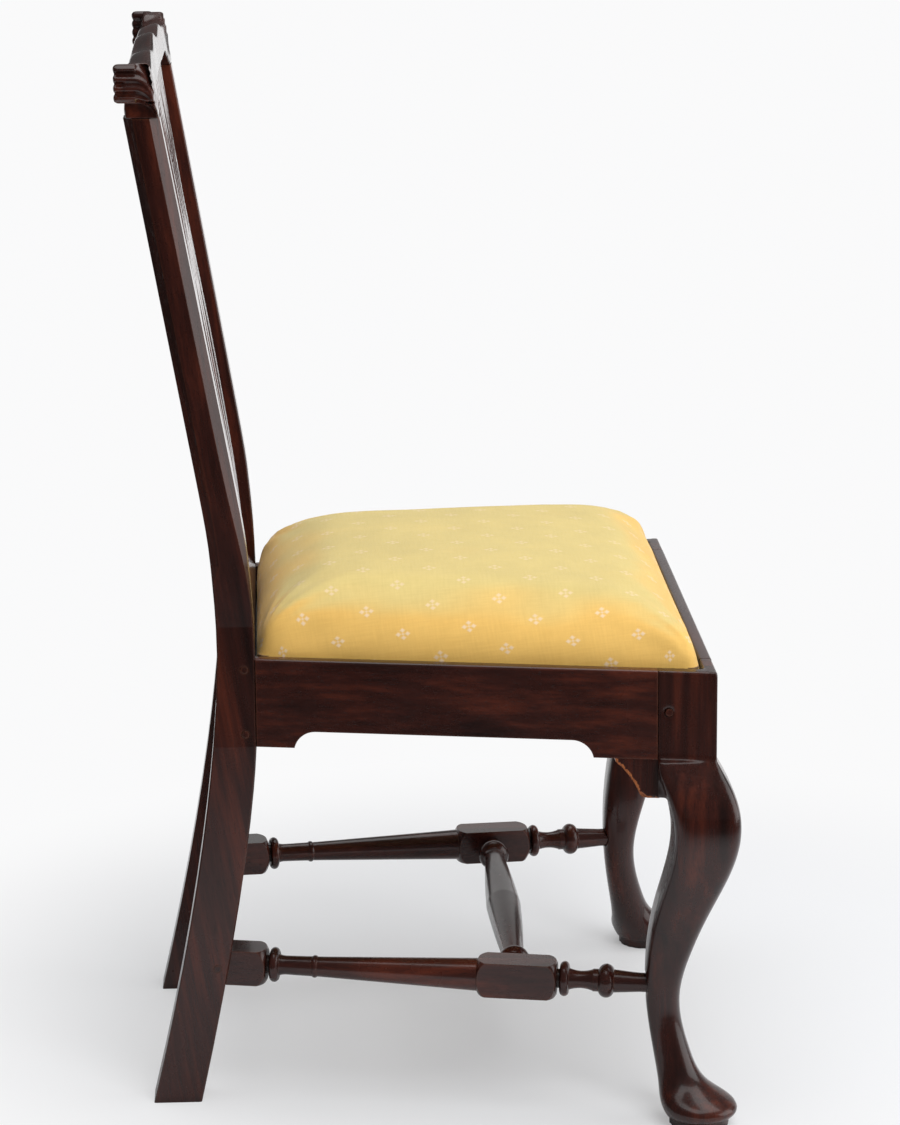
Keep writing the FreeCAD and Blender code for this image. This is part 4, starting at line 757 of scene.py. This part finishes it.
def makeSeatFabric():
    made, tree, shader = openMaterial("sprigFabric")
    cloth = place(tree, "ShaderNodeUVMap", uv_map="flatCloth")
    parts = place(tree, "ShaderNodeSeparateXYZ")
    feed(tree, cloth.outputs[0], parts.inputs[0])
    along, across = parts.outputs[1], parts.outputs[0]
    pitch = seatCloth["pitch"]
    marks = []
    for shift in (0.0, 0.5):
        cell = []
        for source in (along, across):
            turned = math2(tree, "ADD", math2(tree, "DIVIDE", source, pitch), shift)
            centred = math2(tree, "SUBTRACT", math2(tree, "FRACT", turned), 0.5)
            cell.append(math2(tree, "MULTIPLY", math2(tree, "ABSOLUTE", centred), pitch))
        for first, second in ((0, 1), (1, 0)):
            out = math2(tree, "ABSOLUTE", math2(tree, "SUBTRACT", cell[first], seatCloth["petalReach"]))
            petal = math2(tree, "SUBTRACT", seatCloth["petal"], math2(tree, "ADD", out, cell[second]))
            marks.append(math2(tree, "MULTIPLY", petal, seatCloth["edge"], True))
        heart = math2(tree, "SUBTRACT", seatCloth["heart"], math2(tree, "ADD", cell[0], cell[1]))
        marks.append(math2(tree, "MULTIPLY", heart, seatCloth["edge"], True))
    sprig = marks[0]
    for mark in marks[1:]:
        sprig = math2(tree, "MAXIMUM", sprig, mark)
    weave = []
    for source in (along, across):
        wave = math2(tree, "SINE", math2(tree, "MULTIPLY", source, 2 * math.pi / seatCloth["thread"]))
        weave.append(wave)
    knit = math2(tree, "ADD", math2(tree, "MULTIPLY", math2(tree, "MULTIPLY", weave[0], weave[1]), 0.5), 0.5)
    coordinates = place(tree, "ShaderNodeTexCoord")
    soft = stretchedNoise(tree, coordinates.outputs["Object"], scale=18, detail=4, rough=0.6)
    slubs = []
    for stretch in ((0.07, 1, 1), (1, 0.07, 1)):
        slubs.append(stretchedNoise(tree, cloth.outputs[0], scale=520, detail=3, rough=0.6, stretch=stretch))
    slub = math2(tree, "MULTIPLY", math2(tree, "ADD", slubs[0], slubs[1]), 0.5)
    slub = math2(tree, "ADD", math2(tree, "MULTIPLY", math2(tree, "SUBTRACT", slub, 0.5), 2.4), 0.5, True)
    # painted light: this reads the paler, greener top, painted for the sheen and light on it
    worn = place(tree, "ShaderNodeAttribute", attribute_name="paintedTop")
    threads = math2(tree, "ADD", math2(tree, "MULTIPLY", slub, 0.55), math2(tree, "MULTIPLY", knit, 0.16))
    clothTone = blendColour(tree, threads, seatCloth["ground"], seatCloth["shade"])
    paintedTopTone = blendColour(tree, threads, seatCloth["paintedTop"], seatCloth["paintedTopDark"])
    colour = blendColour(tree, worn.outputs["Fac"], clothTone, paintedTopTone)
    shade = math2(tree, "ADD", math2(tree, "MULTIPLY", soft, 0.24), 0.88)
    colour = blendColour(tree, 1.0, colour, shade, "MULTIPLY")
    # the sprigs show less on the painted paler top
    strength = math2(tree, "SUBTRACT", 0.75, math2(tree, "MULTIPLY", worn.outputs["Fac"], 0.3))
    colour = blendColour(tree, math2(tree, "MULTIPLY", sprig, strength), colour, seatCloth["sprig"])
    feed(tree, colour, shader.inputs["Base Color"])
    rough = math2(tree, "SUBTRACT", 0.78, math2(tree, "MULTIPLY", sprig, 0.15))
    feed(tree, rough, shader.inputs["Roughness"])
    shader.inputs["Sheen Weight"].default_value = 0.25
    shader.inputs["Sheen Roughness"].default_value = 0.35
    shader.inputs["Sheen Tint"].default_value = (1, 0.97, 0.82, 1)
    bump = place(tree, "ShaderNodeBump")
    bump.inputs["Strength"].default_value = 0.5
    bump.inputs["Distance"].default_value = 0.0004
    feed(tree, math2(tree, "ADD", knit, math2(tree, "MULTIPLY", sprig, 0.8)), bump.inputs["Height"])
    feed(tree, bump.outputs[0], shader.inputs["Normal"])
    return made


def cushionForm():
    # the stuffing's form, let down to the shelf that the slip seat rests on
    bm = mergedCopy("seat_stuffing")
    low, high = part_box("seat_stuffing")
    under = [face for face in bm.faces if max(vertex.co.z for vertex in face.verts) < low.z + 0.0005]
    down = bmesh.ops.extrude_face_region(bm, geom=under)
    moved = [item for item in down["geom"] if isinstance(item, bmesh.types.BMVert)]
    bmesh.ops.translate(bm, verts=moved, vec=(0, 0, seatCloth["shelf"] - low.z))
    bmesh.ops.delete(bm, geom=under, context="FACES_ONLY")
    middle = Vector((0, (low.y + high.y) / 2, seatCloth["shelf"]))
    coverLow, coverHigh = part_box("seat_cover")
    wider = (coverHigh.x - seatCloth["coverGap"]) / high.x
    deeper = (coverHigh.y - coverLow.y - 2 * seatCloth["coverGap"]) / (high.y - low.y)
    bmesh.ops.scale(bm, verts=bm.verts, vec=(wider, deeper, 1), space=Matrix.Translation(-middle))
    bmesh.ops.recalc_face_normals(bm, faces=bm.faces)
    form = closeMesh(bm, "cushionForm", sharpAngle=0)
    remesh = form.modifiers.new("remesh", "REMESH")
    remesh.mode = "VOXEL"
    remesh.voxel_size = seatCloth["voxel"]
    mesh = evaluatedMesh(form)
    bpy.data.objects.remove(form)
    cushion = bpy.data.objects.new("seat_cushion", mesh)
    scene.collection.objects.link(cushion)
    return cushion


def swellCushion(cushion):
    rest = [vertex.co.copy() for vertex in cushion.data.vertices]
    held = cushion.vertex_groups.new(name="held")
    held.add([index for index, point in enumerate(rest) if point.z < seatCloth["holdBelow"]], 1.0, "REPLACE")
    cloth = cushion.modifiers.new("cloth", "CLOTH")
    settings = cloth.settings
    settings.quality = 6
    settings.mass = 0.3
    settings.tension_stiffness = 25
    settings.compression_stiffness = 25
    settings.shear_stiffness = 12
    settings.bending_stiffness = 2
    settings.use_pressure = True
    settings.uniform_pressure_force = seatCloth["pressure"]
    settings.vertex_group_mass = "held"
    settings.effector_weights.gravity = 0
    for step in range(1, seatCloth["frames"] + 1):
        scene.frame_set(step)
    swollen = evaluatedMesh(cushion)
    for vertex, start, found in zip(cushion.data.vertices, rest, swollen.vertices):
        shift = found.co - start
        if shift.length > seatCloth["cap"]:
            shift *= seatCloth["cap"] / shift.length
        vertex.co = start + shift
    cushion.modifiers.remove(cloth)
    bpy.data.meshes.remove(swollen)
    scene.frame_set(1)


def finishCover(cushion):
    # smooth and refine, then gather at the corners
    bm = bmesh.new()
    bm.from_mesh(cushion.data)
    free = [vertex for vertex in bm.verts if vertex.co.z > seatCloth["holdBelow"] - seatCloth["freeMargin"]]
    for turn in range(seatCloth["smoothing"]):
        bmesh.ops.smooth_vert(bm, verts=free, factor=0.5, use_axis_x=True, use_axis_y=True, use_axis_z=True)
    bm.to_mesh(cushion.data)
    bm.free()
    finer = cushion.modifiers.new("finer", "SUBSURF")
    finer.levels = 1
    finer.render_levels = 1
    mesh = evaluatedMesh(cushion)
    cushion.modifiers.clear()
    cushion.data = mesh
    mesh.shade_smooth()
    corners = []
    for y in (seatCloth["frontY"], seatCloth["rearY"]):
        half = seatCloth["frontHalf"] - seatCloth["flare"] * (y - seatCloth["frontY"])
        corners += [Vector((half, y)), Vector((-half, y))]
    normals = [vertex.normal.copy() for vertex in mesh.vertices]
    for vertex, normal in zip(mesh.vertices, normals):
        point = vertex.co.copy()
        if point.z < seatCloth["foldFrom"]:
            continue
        for corner in corners:
            away = Vector((point.x, point.y)) - corner
            near = away.length
            if near > seatCloth["foldReach"]:
                continue
            spread = math.atan2(away.y, away.x)
            fold = math.sin(spread * 17 + 1.7 * corner.x * 40) * 0.5 + noise.noise(point * 26) * 0.8
            fade = smoothStep(*seatCloth["foldStart"], near) * (1 - smoothStep(*seatCloth["foldEnd"], near))
            vertex.co = vertex.co + normal * (seatCloth["foldHeight"] * fold * fade)


def openUnderside(cushion):
    # the cover is turned under the frame and tacked, so its middle stays open
    bm = bmesh.new()
    bm.from_mesh(cushion.data)
    gone = []
    for face in bm.faces:
        middle = face.calc_center_median()
        inset = min(distance for distance, direction in sideDistances(middle.x, middle.y))
        lowest = middle.z < seatCloth["shelf"] + seatCloth["flapMargin"]
        if face.normal.z < -0.7 and lowest and inset > seatCloth["flap"]:
            gone.append(face)
    bmesh.ops.delete(bm, geom=gone, context="FACES")
    layer = bm.loops.layers.uv.new("flatCloth")
    for vertex in bm.verts:
        spot = flatPlace(vertex.co)
        for loop in vertex.link_loops:
            loop[layer].uv = spot
    bm.to_mesh(cushion.data)
    bm.free()
    paintedTopMask = cushion.data.attributes.new("paintedTop", "FLOAT", "POINT")    # painted light: the top is paler and greener the more it faces upwards, for the sheen and light on it
    for vertex in cushion.data.vertices:
        patch = seatCloth["paintedTopPatch"] * noise.noise(vertex.co * seatCloth["paintedTopGrain"])
        paintedTopMask.data[vertex.index].value = smoothStep(*seatCloth["fade"], vertex.normal.z + patch)
    wall = cushion.modifiers.new("wall", "SOLIDIFY")
    wall.thickness = seatCloth["thickness"]
    wall.offset = -1


def makeStuffing(cushion):
    # what fills the cover, a little inside it
    bm = bmesh.new()
    bm.from_mesh(cushion.data)
    for vertex in bm.verts:
        vertex.co = vertex.co - vertex.normal * seatCloth["fillInset"]
    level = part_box("seat_stuffing")[0].z
    cut = bmesh.ops.bisect_plane(bm, geom=bm.verts[:] + bm.edges[:] + bm.faces[:], plane_co=(0, 0, level),
                                 plane_no=(0, 0, 1), clear_inner=True)
    rim = [item for item in cut["geom_cut"] if isinstance(item, bmesh.types.BMEdge)]
    bmesh.ops.contextual_create(bm, geom=rim)
    bmesh.ops.recalc_face_normals(bm, faces=bm.faces)
    return closeMesh(bm, "seat_filling", sharpAngle=40)


def makeHair():
    made, tree, shader = openMaterial("curledHair")
    coordinates = place(tree, "ShaderNodeTexCoord")
    curl = stretchedNoise(tree, coordinates.outputs["Object"], scale=260, detail=5, rough=0.7)
    colour = ramp(tree, curl, [(0.35, seatCloth["hairDark"]), (0.65, seatCloth["hair"])])
    feed(tree, colour, shader.inputs["Base Color"])
    shader.inputs["Roughness"].default_value = 0.9
    bump = place(tree, "ShaderNodeBump")
    bump.inputs["Distance"].default_value = 0.002
    feed(tree, curl, bump.inputs["Height"])
    feed(tree, bump.outputs[0], shader.inputs["Normal"])
    return made


def dressSeat():
    cushion = cushionForm()
    swellCushion(cushion)
    finishCover(cushion)
    filling = makeStuffing(cushion)
    standFor(filling, makeHair(), "stuffing", "slip_seat", "seat_stuffing")
    openUnderside(cushion)
    standFor(cushion, makeSeatFabric(), "seat_fabric", "slip_seat", "seat_cover")


dressSeat()
print("slip seat covered")


# webbing and sackcloth under the seat

underSeat = {
    "long": (0.42, 0.33, 0.2), "stripe": (0.3, 0.09, 0.05), "sack": (0.36, 0.28, 0.16),
    "pitch": 0.084, "cuts": 48, "slack": 0.0003, "sackSteps": (40, 32),
    "rib": 0.0022, "yarn": 0.0016, "twill": 0.009, "sackThread": 0.0024,
}


def makeWebbing(name, run):
    made, tree, shader = openMaterial(name)
    coordinates = place(tree, "ShaderNodeTexCoord")
    parts = place(tree, "ShaderNodeSeparateXYZ")
    feed(tree, coordinates.outputs["Object"], parts.inputs[0])
    along, across = parts.outputs[0], parts.outputs[1]
    if run == "lengthwise":
        along, across = across, along
    rib = math2(tree, "SINE", math2(tree, "MULTIPLY", along, 2 * math.pi / underSeat["rib"]))
    yarn = math2(tree, "SINE", math2(tree, "MULTIPLY", across, 2 * math.pi / underSeat["yarn"]))
    slanted = math2(tree, "ADD", along, across)
    twill = math2(tree, "SINE", math2(tree, "MULTIPLY", slanted, 2 * math.pi / underSeat["twill"]))
    patch = stretchedNoise(tree, coordinates.outputs["Object"], scale=60, detail=4, rough=0.6)
    shade = math2(tree, "ADD", math2(tree, "MULTIPLY", math2(tree, "MULTIPLY", rib, yarn), 0.16),
                  math2(tree, "ADD", math2(tree, "MULTIPLY", patch, 0.5), 0.7))
    colour = blendColour(tree, 1.0, underSeat["long"], shade, "MULTIPLY")
    stripe = math2(tree, "MULTIPLY", math2(tree, "SUBTRACT", twill, 0.75), 2.0, True)
    colour = blendColour(tree, stripe, colour, underSeat["stripe"])
    feed(tree, colour, shader.inputs["Base Color"])
    shader.inputs["Roughness"].default_value = 0.88
    bump = place(tree, "ShaderNodeBump")
    bump.inputs["Strength"].default_value = 0.6
    bump.inputs["Distance"].default_value = 0.0005
    feed(tree, math2(tree, "MULTIPLY", rib, yarn), bump.inputs["Height"])
    feed(tree, bump.outputs[0], shader.inputs["Normal"])
    return made


def makeSack():
    made, tree, shader = openMaterial("sackcloth")
    coordinates = place(tree, "ShaderNodeTexCoord")
    parts = place(tree, "ShaderNodeSeparateXYZ")
    feed(tree, coordinates.outputs["Object"], parts.inputs[0])
    threads = []
    for index in (0, 1):
        turns = math2(tree, "MULTIPLY", parts.outputs[index], 2 * math.pi / underSeat["sackThread"])
        threads.append(math2(tree, "SINE", turns))
    net = math2(tree, "MULTIPLY", threads[0], threads[1])
    patch = stretchedNoise(tree, coordinates.outputs["Object"], scale=90, detail=5, rough=0.65)
    patch = math2(tree, "ADD", math2(tree, "MULTIPLY", patch, 0.6), 0.6)
    shade = math2(tree, "ADD", math2(tree, "MULTIPLY", net, 0.22), patch)
    feed(tree, blendColour(tree, 1.0, underSeat["sack"], shade, "MULTIPLY"), shader.inputs["Base Color"])
    shader.inputs["Roughness"].default_value = 0.92
    bump = place(tree, "ShaderNodeBump")
    bump.inputs["Strength"].default_value = 0.7
    bump.inputs["Distance"].default_value = 0.0007
    feed(tree, net, bump.inputs["Height"])
    feed(tree, bump.outputs[0], shader.inputs["Normal"])
    return made


def layStrip(node, name, axis, middle, finish):
    # one strip of webbing, tacked to the frame at both ends
    strip = mergedCopy(node)
    beside = [vertex for vertex in strip.verts if abs(vertex.co[axis] - middle) > underSeat["pitch"] / 2]
    bmesh.ops.delete(strip, geom=beside, context="VERTS")
    long = [edge for edge in strip.edges if edge.calc_length() > 0.1]
    bmesh.ops.subdivide_edges(strip, edges=long, cuts=underSeat["cuts"], use_grid_fill=True)
    for vertex in strip.verts:
        vertex.co.z -= underSeat["slack"] * (1 + math.sin(vertex.co.x * 61 + vertex.co.y * 43))
    made = closeMesh(strip, name, sharpAngle=40)
    standFor(made, finish, "webbing", "slip_seat", node)


def laySack():
    sack = mergedCopy("seat_sackcloth")
    low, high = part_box("seat_sackcloth")
    upper = [face for face in sack.faces if face.normal.z > 0.9]
    area = sum(face.calc_area() for face in upper)
    for steps, normal in zip(underSeat["sackSteps"], ((1, 0, 0), (0, 1, 0))):
        for step in range(1, steps):
            bmesh.ops.bisect_plane(sack, geom=sack.verts[:] + sack.edges[:] + sack.faces[:],
                                   plane_co=low.lerp(high, step / steps), plane_no=normal)
    for vertex in sack.verts:
        vertex.co.z += underSeat["slack"] * 0.5 * noise.noise(vertex.co * 30)
    made = closeMesh(sack, "seat_sack", sharpAngle=40)
    standFor(made, makeSack(), "sackcloth", "slip_seat", "seat_sackcloth")


def dressUnderside():
    for run, axis, node in (("lengthwise", 0, "seat_webbing_long"), ("crosswise", 1, "seat_webbing_cross")):
        finish = makeWebbing(node + "_cloth", run)
        low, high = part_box(node)
        for index in (-1, 0, 1):
            middle = (low[axis] + high[axis]) / 2 + index * underSeat["pitch"]
            layStrip(node, "%s_%d" % (node, index + 2), axis, middle, finish)
    laySack()


dressUnderside()
print("underside dressed")


# floor, backdrop and light

studio = {
    "floor": (0.84, 0.852, 0.875),
    "white": (0.955, 0.955, 0.96),
    # painted reflection: a dark colour, and the dusk range where it shows, darken the floor in the polish far
    # from the chair; the sweep range makes it glow white there towards +x
    "reflectedDark": (0.03, 0.03, 0.03),
    "sweepStart": 0.15, "sweepEnd": 1.25,
    "duskStart": 0.75, "duskEnd": 1.5,
    # painted light: the pool sets where the floor glows white for the camera, fading out the real shadow away
    # from the chair
    "poolCentre": (0.14, -0.13), "poolStart": 0.3, "poolEnd": 0.8, "poolWhite": 0.33,
    "half": 40,
    "world": 0.13,
}

# place, aim, size and power; the card is white paper that shows only as a mirror image in the polish
softBoxes = {
    "topBox": {"spot": (0.2, -0.2, 2.7), "aim": (0, 0, 0.4), "size": (2.8, 2.8), "power": 52},
    "keyBox": {
        "spot": (-2.3, -1.0, 2.4), "aim": (0, 0, 0.45), "size": (1.8, 1.8), "power": 52, "mirrored": False,
    },
    "backCard": {
        "spot": (1.6, -0.2, 0.5), "aim": (0, -0.2, 0.5), "size": (4.0, 1.0), "power": 6, "lit": False,
    },
    "frontBox": {"spot": (-0.3, -2.6, 1.05), "aim": (0, 0, 0.55), "size": (2.2, 2.0), "power": 30},
}


def mapSmooth(tree, source, low, high, start=0.0, end=1.0):
    made = place(tree, "ShaderNodeMapRange", interpolation_type="SMOOTHSTEP")
    for label, given in (("From Min", low), ("From Max", high), ("To Min", start), ("To Max", end)):
        made.inputs[label].default_value = given
    feed(tree, source, made.inputs["Value"])
    return made.outputs[0]


def makeFloor():
    bm = bmesh.new()
    bmesh.ops.create_grid(bm, x_segments=1, y_segments=1, size=studio["half"])
    floor = closeMesh(bm, "studioFloor", sharpAngle=0)
    made, tree, shader = openMaterial("paleFloor")
    shader.inputs["Roughness"].default_value = 0.9
    shader.inputs["Specular IOR Level"].default_value = 0.1
    glow = place(tree, "ShaderNodeEmission")
    glow.inputs["Color"].default_value = (*studio["white"], 1)
    coordinates = place(tree, "ShaderNodeTexCoord")
    centred = place(tree, "ShaderNodeMapping", vector_type="TEXTURE")
    centred.inputs["Location"].default_value = (*studio["poolCentre"], 0)
    feed(tree, coordinates.outputs["Object"], centred.inputs["Vector"])
    radius = place(tree, "ShaderNodeVectorMath", operation="LENGTH")
    feed(tree, centred.outputs[0], radius.inputs[0])
    away = radius.outputs["Value"]
    parts = place(tree, "ShaderNodeSeparateXYZ")
    feed(tree, coordinates.outputs["Object"], parts.inputs[0])
    path = place(tree, "ShaderNodeLightPath")
    # painted reflection: for glossy rays the floor turns dark far from the chair, as polished wood would see
    # a dark room behind the lamps
    reflectedDark = mapSmooth(tree, away, studio["duskStart"], studio["duskEnd"])
    reflectedDark = math2(tree, "MULTIPLY", reflectedDark, path.outputs["Is Glossy Ray"])
    feed(tree, blendColour(tree, reflectedDark, studio["floor"], studio["reflectedDark"]), shader.inputs["Base Color"])
    # painted light: a third of a white glow under the chair, rising to all glow further out, over the real
    # shading
    paintedGlow = mapSmooth(tree, away, studio["poolStart"], studio["poolEnd"], studio["poolWhite"], 1.0)
    # painted reflection: for glossy rays the floor glows white towards +x, as a white backdrop behind the
    # chair
    sweep = mapSmooth(tree, parts.outputs[0], studio["sweepStart"], studio["sweepEnd"])
    seen = math2(tree, "MULTIPLY", paintedGlow, path.outputs["Is Camera Ray"])
    mirrored = math2(tree, "MULTIPLY", sweep, path.outputs["Is Glossy Ray"])
    mix = place(tree, "ShaderNodeMixShader")
    feed(tree, math2(tree, "ADD", seen, mirrored, True), mix.inputs[0])
    feed(tree, shader.outputs[0], mix.inputs[1])
    feed(tree, glow.outputs[0], mix.inputs[2])
    feed(tree, mix.outputs[0], tree.nodes["Material Output"].inputs["Surface"])
    floor.data.materials.append(made)


def softBox(name, spot, aim, size, power, mirrored=True, lit=True):
    data = bpy.data.lights.new(name, "AREA")
    data.shape = "RECTANGLE"
    data.size, data.size_y = size
    data.energy = power
    lamp = bpy.data.objects.new(name, data)
    lamp.location = spot
    lamp.rotation_euler = (Vector(aim) - Vector(spot)).to_track_quat("-Z", "Y").to_euler()
    lamp.visible_camera = False
    lamp.visible_glossy = mirrored
    lamp.visible_diffuse = lit
    scene.collection.objects.link(lamp)


def lightStudio():
    world = bpy.data.worlds.new("studio")
    scene.world = world
    world.use_nodes = True
    tree = world.node_tree
    back = tree.nodes["Background"]
    back.inputs["Color"].default_value = (*studio["white"], 1)
    path = place(tree, "ShaderNodeLightPath")
    strength = math2(tree, "MAXIMUM", path.outputs["Is Camera Ray"], studio["world"])
    feed(tree, strength, back.inputs["Strength"])
    for name, settings in softBoxes.items():
        softBox(name, **settings)


makeFloor()
lightStudio()
print("studio lit")
